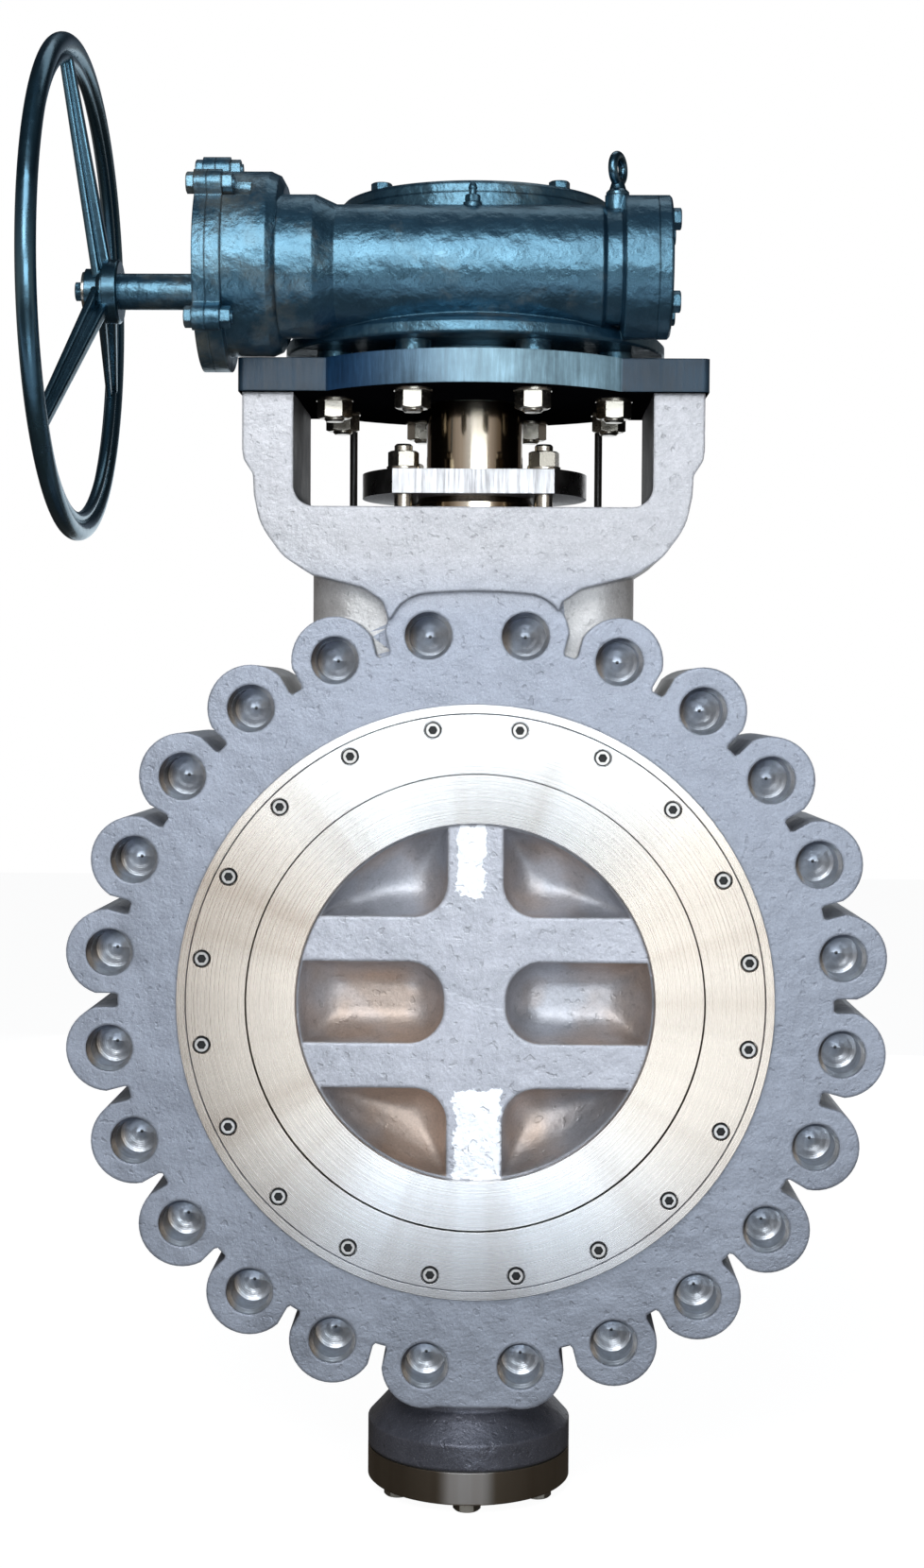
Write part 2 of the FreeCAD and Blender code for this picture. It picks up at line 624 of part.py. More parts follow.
ADAPTER_BORE_R = STEM_R + 2
MOUNT_STUD_D = 20.0
wings = [(STEM_X + sx * PLATE_WING_X, STEM_Y + sy * PLATE_WING_Y, 6)
         for sx, sy in ((-1, -1), (1, -1), (1, 1), (-1, 1))]
adapter = fuse([cylinder(PLATE_R, PLATE_T, (STEM_X, STEM_Y, PLATE_Z)),
                extrude_z(wings, PLATE_Z, PLATE_TOP_Z)])
cuts = [cylinder(ADAPTER_BORE_R, PLATE_T + 2, (STEM_X, STEM_Y, PLATE_Z - 1))]
for x, y in mount_stud_places():
    cuts.append(cylinder(MOUNT_STUD_D / 2 + 1, PLATE_T + 2, (x, y, PLATE_Z - 1)))
for x, y in adapter_screw_places():
    cuts.append(cylinder(ADAPTER_SCREW / 2 + 1, PLATE_T + 2, (x, y, PLATE_Z - 1)))
    cuts.append(cylinder(ADAPTER_SCREW * 0.85, ADAPTER_SCREW + 2, (x, y, PLATE_TOP_Z - ADAPTER_SCREW - 1)))
save("adapter_plate", adapter.cut(cuts))
save("adapter_screws", group([socket_screw(ADAPTER_SCREW, 50, (x, y, PLATE_TOP_Z - ADAPTER_SCREW - 1), AXIS_Z)
                              for x, y in adapter_screw_places()]))
MOUNT_NUT_Z = PLATE_Z - MOUNT_STUD_D * 0.15
STUD_TOP_Z = BASE_TOP_Z - 4
STUD_LENGTH = STUD_TOP_Z - MOUNT_NUT_Z + MOUNT_STUD_D
save("gearbox_studs", group([stud(MOUNT_STUD_D, STUD_LENGTH, (x, y, STUD_TOP_Z), AXIS_Z * -1)
                             for x, y in mount_stud_places()]))
save("gearbox_nuts", group([hex_nut(MOUNT_STUD_D, (x, y, MOUNT_NUT_Z), AXIS_Z * -1, 0)
                            for x, y in mount_stud_places()]))
save("gearbox_washers", group([washer(MOUNT_STUD_D, (x, y, PLATE_Z), AXIS_Z * -1)
                               for x, y in mount_stud_places()]))

# Gearbox housing
TUBE_X0 = -142.0
TUBE_X1 = 120.0
BOSS_X0 = 137.0
BOSS_X1 = 168.0
SPUR_X0 = -253.0
SPUR_X1 = -184.0
FLANGE_T = 14.0
WORM_BORE_R = 37.0
WORM_BEARING_R = 42.0
CASE_WALL = 13.0
SPUR_FACE = 22.0
SPUR_FACE_X = SPUR_X0 + 25
COVER_PLATE_T = 11.0
PILOT_R = 16.5
EYE_X = 131.0
GREASE_X = -6.0
GREASE_Y = WORM_Y - 14
GREASE_Z = WORM_Z + TUBE_R
SPIGOT_R = 110.0
EYE_SEAT_Z = WORM_Z + BOSS_R + 0.5


SPUR_BOLT = 12.0
END_BOLT = 12.0
SPUR_BOLT_R = 98.0
SPUR_BOLT_ANGLES = (0, -43, -124, 55, 122)
EAR_R = 12.5


def spur_bolt_places():
    for degrees in SPUR_BOLT_ANGLES:
        dy, dz = at_angle(SPUR_BOLT_R, degrees)
        yield SPUR_CASE_Y + dy, SPUR_FLANGE_Z + dz


# An ear of the spur flange: a round end joined straight back to the flange disc
def flange_ear(y, z, x0, thickness):
    along = V(0, y - SPUR_CASE_Y, z - SPUR_FLANGE_Z).normalize()
    across = V(0, -along.z, along.y) * EAR_R
    end = V(x0, y, z)
    start = end - along * 30
    web = Part.makePolygon([start + across, end + across, end - across, start - across, start + across])
    return Part.Face(web).extrude(V(thickness, 0, 0)).fuse(cylinder(EAR_R, thickness, (x0, y, z), AXIS_X))


def top_bolt_places():
    for dx, dy in around_circle(4, CASE_R - 14, 42):
        yield STEM_X + dx, STEM_Y + dy


def end_bolt_places():
    for dy, dz in around_circle(4, BOSS_R - 13, 45):
        yield WORM_Y + dy, WORM_Z + dz


def gearbox_housing():
    along = AXIS_X
    solids = [cylinder(SPIGOT_R, FOOT_H + 5, (STEM_X, STEM_Y, PLATE_TOP_Z)),
              cylinder(CASE_R, CASE_TOP_Z - BASE_TOP_Z, (STEM_X, STEM_Y, BASE_TOP_Z))]
    base_z = PLATE_TOP_Z + FOOT_H
    solids.append(turned_z([(0, base_z), (BASE_R - 2, base_z), (BASE_R, base_z + 2),
                            (BASE_R, BASE_TOP_Z - 4), (BASE_R - 4, BASE_TOP_Z),
                            (CASE_R + 22, BASE_TOP_Z + 12), (CASE_R, BASE_TOP_Z + 34),
                            (0, BASE_TOP_Z + 34)]))
    tube_profile = [(0, SPUR_X1 - 4), (BOSS_R, SPUR_X1 - 4), (BOSS_R, TUBE_X0 - 12), (TUBE_R, TUBE_X0 + 8),
                    (TUBE_R, TUBE_X1 - 4), (TUBE_R - 4, TUBE_X1), (TUBE_R - 4, BOSS_X0 - 3),
                    (BOSS_R, BOSS_X0), (BOSS_R, BOSS_X1), (0, BOSS_X1)]
    solids.append(turned_x(tube_profile, WORM_Y, WORM_Z))
    spur_profile = [(0, SPUR_X0), (SPUR_CASE_R, SPUR_X0), (SPUR_CASE_R, SPUR_X1 - 14),
                    (SPUR_CASE_R - 4, SPUR_X1 - 5), (SPUR_CASE_R - 13, SPUR_X1), (0, SPUR_X1)]
    solids.append(turned_x(spur_profile, SPUR_CASE_Y, SPUR_CASE_Z))
    solids.append(cylinder(SPUR_FLANGE_R, FLANGE_T, (SPUR_X0, SPUR_CASE_Y, SPUR_FLANGE_Z), along))
    solids.append(box(STEM_X - 100, STEM_X + 100, WORM_Y, 10, base_z + 5, WORM_Z))
    for y, z in spur_bolt_places():
        solids.append(flange_ear(y, z, SPUR_X0, FLANGE_T))
    solids.append(cylinder(12, EYE_SEAT_Z - WORM_Z, (EYE_X, WORM_Y, WORM_Z)))
    solids.append(cylinder(9, 20, (GREASE_X, GREASE_Y, GREASE_Z - 20)))
    for x, y in mount_stud_places():
        solids.append(cylinder(17, FOOT_H + 1, (x, y, PLATE_TOP_Z)))
    casting = fuse(solids)
    cuts = [cylinder(CASE_R - CASE_WALL, 300, (STEM_X, STEM_Y, BASE_TOP_Z)),
            cylinder(HOUSING_BORE_R, 60, (STEM_X, STEM_Y, PLATE_TOP_Z - 1)),
            cylinder(WORM_BORE_R, 400, (-200, WORM_Y, WORM_Z), along),
            cylinder(WORM_BEARING_R, 30, (BOSS_X1 - 29, WORM_Y, WORM_Z), along),
            cylinder(WORM_BEARING_R, 26, (SPUR_X1 - 10, WORM_Y, WORM_Z), along),
            cylinder(SPUR_CASE_R - 9, SPUR_X1 - 10 - SPUR_X0 + 1, (SPUR_X0 - 1, SPUR_CASE_Y, SPUR_CASE_Z),
                     along), cylinder(PILOT_R, 14, (SPUR_X1 - 11, INPUT_Y, INPUT_Z), along),
            cylinder(6 + FIXED_FIT, 40, (EYE_X, WORM_Y, EYE_SEAT_Z - 20))]
    for y, z in spur_bolt_places():
        cuts.append(cylinder(SPUR_BOLT / 2 + FIXED_FIT, 40, (SPUR_X0 - 1, y, z), along))
        cuts.append(cylinder(EAR_R - 1, 26, (SPUR_X0 + FLANGE_T, y, z), along))
    for x, y in top_bolt_places():
        cuts.append(cylinder(6 + FIXED_FIT, 31, (x, y, CASE_TOP_Z - 30)))
    for y, z in end_bolt_places():
        cuts.append(cylinder(END_BOLT / 2 + FIXED_FIT, 25, (BOSS_X1 - 24, y, z), along))
    for x, y in mount_stud_places():
        cuts.append(cylinder(MOUNT_STUD_D / 2 + FIXED_FIT, STUD_TOP_Z - PLATE_TOP_Z + 1,
                             (x, y, PLATE_TOP_Z - 1)))
    cuts.append(cylinder(5 + FIXED_FIT, 20, (GREASE_X, GREASE_Y, GREASE_Z - 12)))
    return casting.cut(cuts)


save("gearbox_housing", gearbox_housing())

POINTER_R = 18.0
top_cover = turned_z([(POINTER_R + RUNNING_FIT, CASE_TOP_Z), (CASE_R, CASE_TOP_Z),
                      (CASE_R, CASE_TOP_Z + COVER_PLATE_T - 3), (CASE_R - 3, CASE_TOP_Z + COVER_PLATE_T),
                      (POINTER_R + RUNNING_FIT, CASE_TOP_Z + COVER_PLATE_T)])
save("gearbox_top_cover", top_cover.cut([cylinder(6.5, 40, (x, y, CASE_TOP_Z - 10))
                                         for x, y in top_bolt_places()]))
save("top_cover_bolts", group([hex_bolt(12, 36, (x, y, CASE_TOP_Z + COVER_PLATE_T), AXIS_Z, 10)
                               for x, y in top_bolt_places()]))

end_cap = turned_x([(0, BOSS_X1), (BOSS_R, BOSS_X1), (BOSS_R, BOSS_X1 + 11), (BOSS_R - 2, BOSS_X1 + 13),
                    (0, BOSS_X1 + 13)], WORM_Y, WORM_Z)
save("worm_end_cap", end_cap.cut([cylinder(END_BOLT / 2 + 0.5, 40, (BOSS_X1 - 10, y, z), AXIS_X)
                                  for y, z in end_bolt_places()]))
save("end_cap_bolts", group([hex_bolt(END_BOLT, 34, (BOSS_X1 + 13, y, z), AXIS_X, 0)
                             for y, z in end_bolt_places()]))

# Spur reduction cover with the input bearing
COVER_X = SPUR_X0 - 12.0
spur_cover = [cylinder(SPUR_FLANGE_R, 12, (COVER_X, SPUR_CASE_Y, SPUR_FLANGE_Z), AXIS_X)]
for y, z in spur_bolt_places():
    spur_cover.append(flange_ear(y, z, COVER_X, 12))
spur_cover.append(turned_x([(0, COVER_X - 8), (34, COVER_X - 8), (46, COVER_X), (38, COVER_X),
                            (38, COVER_X + 20), (0, COVER_X + 20)], INPUT_Y, INPUT_Z))
spur_cover = fuse(spur_cover)
cuts = [cylinder(INPUT_D / 2 + 0.5, 60, (COVER_X - 20, INPUT_Y, INPUT_Z), AXIS_X),
        cylinder(31, 22, (COVER_X - 1, INPUT_Y, INPUT_Z), AXIS_X)]
for y, z in spur_bolt_places():
    cuts.append(cylinder(SPUR_BOLT / 2 + 0.5, 30, (COVER_X - 5, y, z), AXIS_X))
save("spur_cover", spur_cover.cut(cuts))
save("spur_cover_bolts", group([hex_bolt(SPUR_BOLT, 38, (COVER_X, y, z), AXIS_X * -1, 0)
                                for y, z in spur_bolt_places()]))
save("spur_cover_nuts", group([hex_nut(SPUR_BOLT, (SPUR_X0 + FLANGE_T, y, z), AXIS_X, 0)
                               for y, z in spur_bolt_places()]))
save("input_bearing", tube(31 - FIXED_FIT, INPUT_D / 2 + RUNNING_FIT, 20.5, (COVER_X - 1, INPUT_Y, INPUT_Z),
                           AXIS_X))
save("pilot_bearing", tube(PILOT_R - FIXED_FIT, 13 + RUNNING_FIT, 10, (SPUR_X1 - 9, INPUT_Y, INPUT_Z),
                           AXIS_X))
WORM_SHAFT_R = 17.0
save("worm_bearings", group([tube(WORM_BEARING_R - FIXED_FIT, WORM_SHAFT_R + RUNNING_FIT, 24,
                                  (x, WORM_Y, WORM_Z), AXIS_X) for x in (SPUR_X1 - 9, BOSS_X1 - 27)]))

# Lifting eye on top of the worm tube, beside the right boss
EYE_RING_R = 12.5
EYE_WIRE_R = 4.5
EYE_RING_Z = EYE_SEAT_Z + 25
EYE_TURN = 25.0
eye_ring = Part.makeTorus(EYE_RING_R, EYE_WIRE_R, V(EYE_X, WORM_Y, EYE_RING_Z), AXIS_X)
eye_ring.rotate(V(EYE_X, WORM_Y, 0), AXIS_Z, -EYE_TURN)
eye_neck = turned_z([(0, EYE_SEAT_Z - 16), (6, EYE_SEAT_Z - 16), (6, EYE_SEAT_Z), (11, EYE_SEAT_Z),
                     (11, EYE_SEAT_Z + 3), (8, EYE_SEAT_Z + 6), (6, EYE_RING_Z - EYE_RING_R),
                     (0, EYE_RING_Z - EYE_RING_R)], EYE_X, WORM_Y)
save("eye_bolt", fuse([eye_ring, eye_neck]))

# Grease fitting on top of the worm tube
grease_hex = hexagon(13, 7, (GREASE_X, GREASE_Y, GREASE_Z + 0.3), AXIS_Z, 15)
grease_stem = turned_z([(0, GREASE_Z - 10), (5, GREASE_Z - 10), (5, GREASE_Z + 5), (3.5, GREASE_Z + 7),
                        (3.5, GREASE_Z + 12), (4.5, GREASE_Z + 14), (3, GREASE_Z + 18), (0, GREASE_Z + 18)],
                       GREASE_X, GREASE_Y)
save("grease_fitting", fuse([grease_hex, grease_stem]))


# Gear teeth
def involute_point(base_r, radius):
    angle = math.acos(base_r / radius)
    return math.tan(angle) - angle


def tooth_face(module, teeth, place, backlash, addendum=1.0, root=1.25):
    pitch_r = module * teeth / 2
    base_r = pitch_r * math.cos(math.radians(PRESSURE_ANGLE))
    tip_r = pitch_r + addendum * module
    root_r = pitch_r - root * module
    half = (math.pi * module / 2 - backlash) / 2 / pitch_r + involute_point(base_r, pitch_r)
    low_r = max(base_r, root_r) + 0.01
    flank = []
    for radius in (low_r, (low_r + tip_r) / 2, tip_r):
        flank.append((radius, half - involute_point(base_r, radius)))
    inside = (root_r - 1.5, flank[0][1])
    upper = [place(*inside)] + [place(r, a) for r, a in flank]
    lower = [place(inside[0], -inside[1])] + [place(r, -a) for r, a in flank]
    edges = [Part.makeLine(upper[0], upper[1]), Part.Arc(upper[1], upper[2], upper[3]).toShape(),
             Part.makeLine(upper[3], lower[3]), Part.Arc(lower[3], lower[2], lower[1]).toShape(),
             Part.makeLine(lower[1], lower[0]), Part.makeLine(lower[0], upper[0])]
    return Part.Wire(edges)


def spur_wheel(module, teeth, centre, x0, face, bore, phase, backlash):
    y0, z0 = centre
    root_r = module * teeth / 2 - 1.25 * module
    bodies = [cylinder(root_r, face, (x0, y0, z0), AXIS_X)]
    for i in range(teeth):
        turn = phase + 2 * math.pi * i / teeth

        def place(radius, angle):
            return V(x0, y0 + radius * math.cos(angle + turn), z0 + radius * math.sin(angle + turn))

        bodies.append(Part.Face(tooth_face(module, teeth, place, backlash, 0.95)).extrude(V(face, 0, 0)))
    blank = bodies[0].fuse(bodies[1:]).removeSplitter()
    return blank.cut(cylinder(bore, face + 2, (x0 - 1, y0, z0), AXIS_X))


# Worm quadrant: the toothed part of the worm wheel that turns with the stem
QUADRANT_FACE = 36.0
WORM_PITCH = math.pi * WORM_MODULE
LEAD_SLOPE = WORM_PITCH / (2 * math.pi * WORM_PITCH_R)
FIRST_TOOTH_DEG = -192.0
LAST_TOOTH_DEG = -78.0


def worm_quadrant():
    root_r = WHEEL_PITCH_R - 1.25 * WORM_MODULE
    z0 = WORM_Z - QUADRANT_FACE / 2
    bottom_z = BASE_TOP_Z + 5
    hub = tube(68, STEM_R + FIXED_FIT, CASE_TOP_Z - 8 - bottom_z, (STEM_X, STEM_Y, bottom_z))
    sweep = LAST_TOOTH_DEG - FIRST_TOOTH_DEG
    sector = Part.makeCylinder(root_r, QUADRANT_FACE, V(STEM_X, STEM_Y, z0), AXIS_Z, sweep + 6)
    sector.rotate(V(STEM_X, STEM_Y, 0), AXIS_Z, FIRST_TOOTH_DEG - 3)
    bodies = [hub, sector.cut(cylinder(STEM_R + 5, 100, (STEM_X, STEM_Y, z0 - 1)))]
    step = 360.0 / WHEEL_TEETH
    first = math.ceil((FIRST_TOOTH_DEG + 90) / step - 0.5)
    last = math.floor((LAST_TOOTH_DEG + 90) / step - 0.5)
    for i in range(first, last + 1):
        wires = []
        for side in (-0.5, 0, 0.5):
            height = side * QUADRANT_FACE
            turn = math.radians(-90 + (i + 0.5) * step) + LEAD_SLOPE * height / WHEEL_PITCH_R

            def place(radius, angle):
                return V(STEM_X + radius * math.cos(angle + turn), STEM_Y + radius * math.sin(angle + turn),
                         WORM_Z + height)

            wires.append(tooth_face(WORM_MODULE, WHEEL_TEETH, place, 0.5))
        bodies.append(Part.makeLoft([wires[0], wires[2]], True, True))
    shape = bodies[0].fuse(bodies[1:]).removeSplitter()
    keyway = box(STEM_X - KEY_W / 2 - FIXED_FIT, STEM_X + KEY_W / 2 + FIXED_FIT, STEM_Y,
                 STEM_Y + STEM_R + 4.6, KEY_Z0 - 60, KEY_Z1 + 60)
    return shape.cut(keyway)


save("worm_quadrant", worm_quadrant())

# Position pointer on top of the stem
pointer = turned_z([(0, STEM_TOP_Z), (POINTER_R, STEM_TOP_Z), (POINTER_R, CASE_TOP_Z + COVER_PLATE_T + 1),
                    (30, CASE_TOP_Z + COVER_PLATE_T + 1), (30, CASE_TOP_Z + COVER_PLATE_T + 7),
                    (0, CASE_TOP_Z + COVER_PLATE_T + 7)])
arrow = extrude_z([(STEM_X - 14, STEM_Y, 0), (STEM_X - 14, STEM_Y + 62, 2), (STEM_X, STEM_Y + 84, 2),
                   (STEM_X + 14, STEM_Y + 62, 2), (STEM_X + 14, STEM_Y, 0)], CASE_TOP_Z + COVER_PLATE_T + 1,
                  CASE_TOP_Z + COVER_PLATE_T + 7)
save("position_pointer", fuse([pointer, arrow]))


# Worm with one right-hand thread. Its crest meets the gap between two teeth on the wheel side.
THREAD_HALF = 46.0


def worm_shaft():
    tip_r = WORM_PITCH_R + 0.9 * WORM_MODULE
    root_r = WORM_PITCH_R - 1.25 * WORM_MODULE
    x0 = STEM_X - THREAD_HALF
    x1 = STEM_X + THREAD_HALF
    shaft = turned_x([(0, SPUR_FACE_X - 6), (15, SPUR_FACE_X - 6), (15, SPUR_X1 - 18),
                      (WORM_SHAFT_R, SPUR_X1 - 18), (WORM_SHAFT_R, SPUR_X1 + 18), (root_r, SPUR_X1 + 24),
                      (root_r, BOSS_X1 - 32), (WORM_SHAFT_R, BOSS_X1 - 30), (WORM_SHAFT_R, BOSS_X1 - 2),
                      (0, BOSS_X1 - 2)], WORM_Y, WORM_Z)
    turns = math.ceil(2 * THREAD_HALF / WORM_PITCH / 2) * 2 + 2
    start_x = STEM_X - turns / 2 * WORM_PITCH - WORM_PITCH / 4
    slope = math.tan(math.radians(PRESSURE_ANGLE))
    bottom_r = root_r - 1.0
    pitch_half = WORM_PITCH / 4 - 0.15
    low = pitch_half + (WORM_PITCH_R - bottom_r) * slope
    high = pitch_half - (tip_r - WORM_PITCH_R) * slope
    helix = Part.makeHelix(WORM_PITCH, turns * WORM_PITCH, WORM_PITCH_R)
    corners = [(bottom_r, -low), (tip_r, -high), (tip_r, high), (bottom_r, low), (bottom_r, -low)]
    profile = Part.makePolygon([V(r, 0, z) for r, z in corners])
    thread = Part.Wire(helix.Edges).makePipeShell([profile], True, True)
    thread.Placement = FreeCAD.Placement(V(start_x, WORM_Y, WORM_Z), FreeCAD.Rotation(V(0, 0, 1), AXIS_X))
    limit = turned_x([(0, x0 - 4), (root_r, x0 - 4), (tip_r + 1, x0 + 4), (tip_r + 1, x1 - 4),
                      (root_r, x1 + 4), (0, x1 + 4)], WORM_Y, WORM_Z)
    return shaft.fuse(thread.common(limit))


save("worm_shaft", worm_shaft())

# Spur pair
save("spur_gear", spur_wheel(SPUR_MODULE, GEAR_TEETH, (WORM_Y, WORM_Z), SPUR_FACE_X, SPUR_FACE,
                             15 + FIXED_FIT, math.radians(-SPUR_TILT), 0.35))
PINION_PHASE = math.radians(180 - SPUR_TILT) + math.pi / PINION_TEETH
save("spur_pinion", spur_wheel(SPUR_MODULE, PINION_TEETH, (INPUT_Y, INPUT_Z), SPUR_FACE_X - 1,
                               SPUR_FACE + 2, 13 + FIXED_FIT, PINION_PHASE, 0.35))
INPUT_END_X = HUB_X0 + 1
input_shaft = turned_x([(0, INPUT_END_X), (16, INPUT_END_X), (INPUT_D / 2, INPUT_END_X + 2),
                        (INPUT_D / 2, COVER_X + 22), (13, COVER_X + 22), (13, SPUR_X1), (0, SPUR_X1)],
                       INPUT_Y, INPUT_Z)
save("input_shaft", input_shaft.cut(cylinder(6 + FIXED_FIT, 32, (INPUT_END_X - 1, INPUT_Y, INPUT_Z), AXIS_X)))

# Handwheel
SPOKE_ANGLES = (102, 222, 342)


def spoke_bar(stations):
    sections = []
    for radius, x, wide, thick, edge in stations:
        corners = [(-wide / 2, -thick / 2, edge), (wide / 2, -thick / 2, edge), (wide / 2, thick / 2, edge),
                   (-wide / 2, thick / 2, edge)]
        sections.append(rounded_wire(corners, lambda p: V(x + p.y, INPUT_Y + p.x, INPUT_Z + radius)))
    return Part.makeLoft(sections, True)


def handwheel():
    tube_centre = WHEEL_R - RIM_TUBE_R
    bead_centre = tube_centre - RIM_TUBE_R - RIM_BEAD_R + 1.5
    centre = V(WHEEL_X, INPUT_Y, INPUT_Z)
    rim = Part.makeTorus(tube_centre, RIM_TUBE_R, centre, AXIS_X)
    bead = Part.makeTorus(bead_centre, RIM_BEAD_R, centre, AXIS_X)
    hub = turned_x([(0, HUB_X0), (22, HUB_X0), (22, HUB_X0 + 12), (26, HUB_X0 + 16), (26, HUB_X1 - 15),
                    (31, HUB_X1 - 15), (31, HUB_X1 - 2), (29, HUB_X1), (0, HUB_X1)], INPUT_Y, INPUT_Z)
    bodies = [rim, bead, hub]
    for degrees in SPOKE_ANGLES:
        flange = spoke_bar([(16, HUB_X0 + 12, 32, 9, 3), (bead_centre, WHEEL_X - 2, 23, 6, 2)])
        web = spoke_bar([(16, HUB_X0 + 19, 12, 15, 3), (bead_centre, WHEEL_X + 2, 9, 9, 2)])
        for bar in (flange, web):
            bar.rotate(V(0, INPUT_Y, INPUT_Z), AXIS_X, degrees - 90)
            bodies.append(bar)
    wheel = bodies[0].fuse(bodies[1:])
    return wheel.cut(cylinder(INPUT_D / 2 + FIXED_FIT, 100, (HUB_X0 - 1, INPUT_Y, INPUT_Z), AXIS_X))


save("handwheel", handwheel())

# Screw and washer that hold the wheel on its shaft
HUB_WASHER_T = 3.0
save("wheel_washer", tube(19, 6 + FIXED_FIT, HUB_WASHER_T, (HUB_X0 - HUB_WASHER_T, INPUT_Y, INPUT_Z), AXIS_X))
save("wheel_screw", hex_bolt(12, 30, (HUB_X0 - HUB_WASHER_T, INPUT_Y, INPUT_Z), AXIS_X * -1, 20))
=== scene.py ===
import json
import math

import bpy
from mathutils import Matrix, Vector


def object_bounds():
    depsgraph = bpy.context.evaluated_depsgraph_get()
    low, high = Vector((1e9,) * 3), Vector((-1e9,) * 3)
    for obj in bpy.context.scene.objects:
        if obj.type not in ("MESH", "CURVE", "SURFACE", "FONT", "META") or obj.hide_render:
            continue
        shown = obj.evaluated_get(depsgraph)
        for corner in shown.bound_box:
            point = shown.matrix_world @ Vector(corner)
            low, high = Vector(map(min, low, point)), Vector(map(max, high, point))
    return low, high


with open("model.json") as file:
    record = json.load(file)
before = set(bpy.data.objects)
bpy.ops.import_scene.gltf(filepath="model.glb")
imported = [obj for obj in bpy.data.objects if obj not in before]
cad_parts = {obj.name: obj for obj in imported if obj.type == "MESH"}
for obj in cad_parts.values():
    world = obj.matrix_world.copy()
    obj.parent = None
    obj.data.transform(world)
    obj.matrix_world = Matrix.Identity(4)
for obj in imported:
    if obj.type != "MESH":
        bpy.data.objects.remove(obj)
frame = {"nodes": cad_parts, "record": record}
low_start, high_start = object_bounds()
nodes = frame["nodes"]

# Lengths are in metres, in the frame of the part
MM = 0.001
SLACK = 0.5 * MM

# How squarely a face looks along an axis, by that part of its normal
FLAT = 0.95
SLANTED = 0.7

# Sizes of the valve that its finishes follow
STEM = Vector((-0.005, 0.097, 0.0))
LUG_LENGTH = 0.202
LUG_CIRCLE_R = 0.36195
LUG_STEP = math.radians(15.0)
LUG_MOUTH_R = 0.0231
RAISED_FACE_R = 0.2921
DISC_STEP_R = 0.175
DISC_STEP_Y = 0.002
DISC_EDGE_Y = 0.030
POCKET_FLOOR_Y = 0.044
SCREW_STEP = math.radians(18.0)
NECK_TOP_Z = -0.4035
BOTTOM_R = 0.103
DECK_Z = 0.4835
PLATE_Z = 0.593
WINDOW_HALF_W = 0.174
PLATE_ROUND_HALF_W = 0.141

# Heights and depths between which the trunk's painted light lies, and its distance from the stem in x
TRUNK_Z = (0.30, 0.475)
TRUNK_Y = (0.021, 0.18)
TRUNK_CLEAR_X = 0.09

# Places on the disc's upright rib where the casting was skimmed, low and high corners in x and z
SKIMMED = (
    ((-0.0174, 0.1022), (0.0079, 0.1750)),
    ((-0.0205, -0.1750), (0.0264, -0.0866)),
)


# Small helpers for node trees
def new_material(name):
    material = bpy.data.materials.new(name)
    material.use_nodes = True
    tree = material.node_tree
    return material, tree, tree.nodes["Principled BSDF"]


def add(tree, kind, **settings):
    node = tree.nodes.new(kind)
    for key, value in settings.items():
        setattr(node, key, value)
    return node


def link(tree, source, target):
    tree.links.new(source, target)


def math_node(tree, operation, first, second=None):
    node = add(tree, "ShaderNodeMath", operation=operation)
    for slot, value in zip(node.inputs, (first, second)):
        if value is None:
            continue
        if isinstance(value, (int, float)):
            slot.default_value = value
        else:
            link(tree, value, slot)
    return node.outputs[0]


def length_of(tree, across, along):
    squares = [math_node(tree, "MULTIPLY", side, side) for side in (across, along)]
    return math_node(tree, "SQRT", math_node(tree, "ADD", *squares))


def ramp(tree, factor, stops):
    node = add(tree, "ShaderNodeValToRGB")
    elements = node.color_ramp.elements
    while len(elements) < len(stops):
        elements.new(0.5)
    for element, (place, colour) in zip(elements, stops):
        element.position = place
        element.color = (*colour, 1.0)
    link(tree, factor, node.inputs["Fac"])
    return node.outputs["Color"]


def grey(value):
    return (value, value, value)


def grey_ramp(tree, factor, first, last):
    """Grey between two stops, each a place on the factor and a level."""
    return ramp(tree, factor, [(first[0], grey(first[1])), (last[0], grey(last[1]))])


def tinted(colour, factor):
    return tuple(min(1.0, channel * factor) for channel in colour)


def ease(tree, value, low, high):
    """Smooth step from 0 at low to 1 at high."""
    node = add(tree, "ShaderNodeMapRange", interpolation_type="SMOOTHSTEP")
    node.inputs["From Min"].default_value = low
    node.inputs["From Max"].default_value = high
    link(tree, value, node.inputs["Value"])
    return node.outputs["Result"]


def place_axes(tree):
    node = add(tree, "ShaderNodeSeparateXYZ")
    link(tree, add(tree, "ShaderNodeTexCoord").outputs["Object"], node.inputs[0])
    return node.outputs


def noise(tree, scale, detail=4.0, roughness=0.55, vector=None, stretch=None):
    node = add(tree, "ShaderNodeTexNoise")
    node.inputs["Scale"].default_value = scale
    node.inputs["Detail"].default_value = detail
    node.inputs["Roughness"].default_value = roughness
    if vector is None:
        vector = add(tree, "ShaderNodeTexCoord").outputs["Object"]
    if stretch is not None:
        mapping = add(tree, "ShaderNodeMapping")
        mapping.inputs["Scale"].default_value = stretch
        link(tree, vector, mapping.inputs["Vector"])
        vector = mapping.outputs["Vector"]
    link(tree, vector, node.inputs["Vector"])
    return node.outputs["Fac"]


def radial_noise(tree, radius, scale, detail):
    """Noise that changes only with the distance from an axis."""
    node = add(tree, "ShaderNodeTexNoise", noise_dimensions="1D")
    node.inputs["Scale"].default_value = scale
    node.inputs["Detail"].default_value = detail
    link(tree, radius, node.inputs["W"])
    return node.outputs["Fac"]


def rings(tree, radius, waves):
    """Rings round an axis, with waves in radians per metre."""
    return math_node(tree, "SINE", math_node(tree, "MULTIPLY", radius, waves))


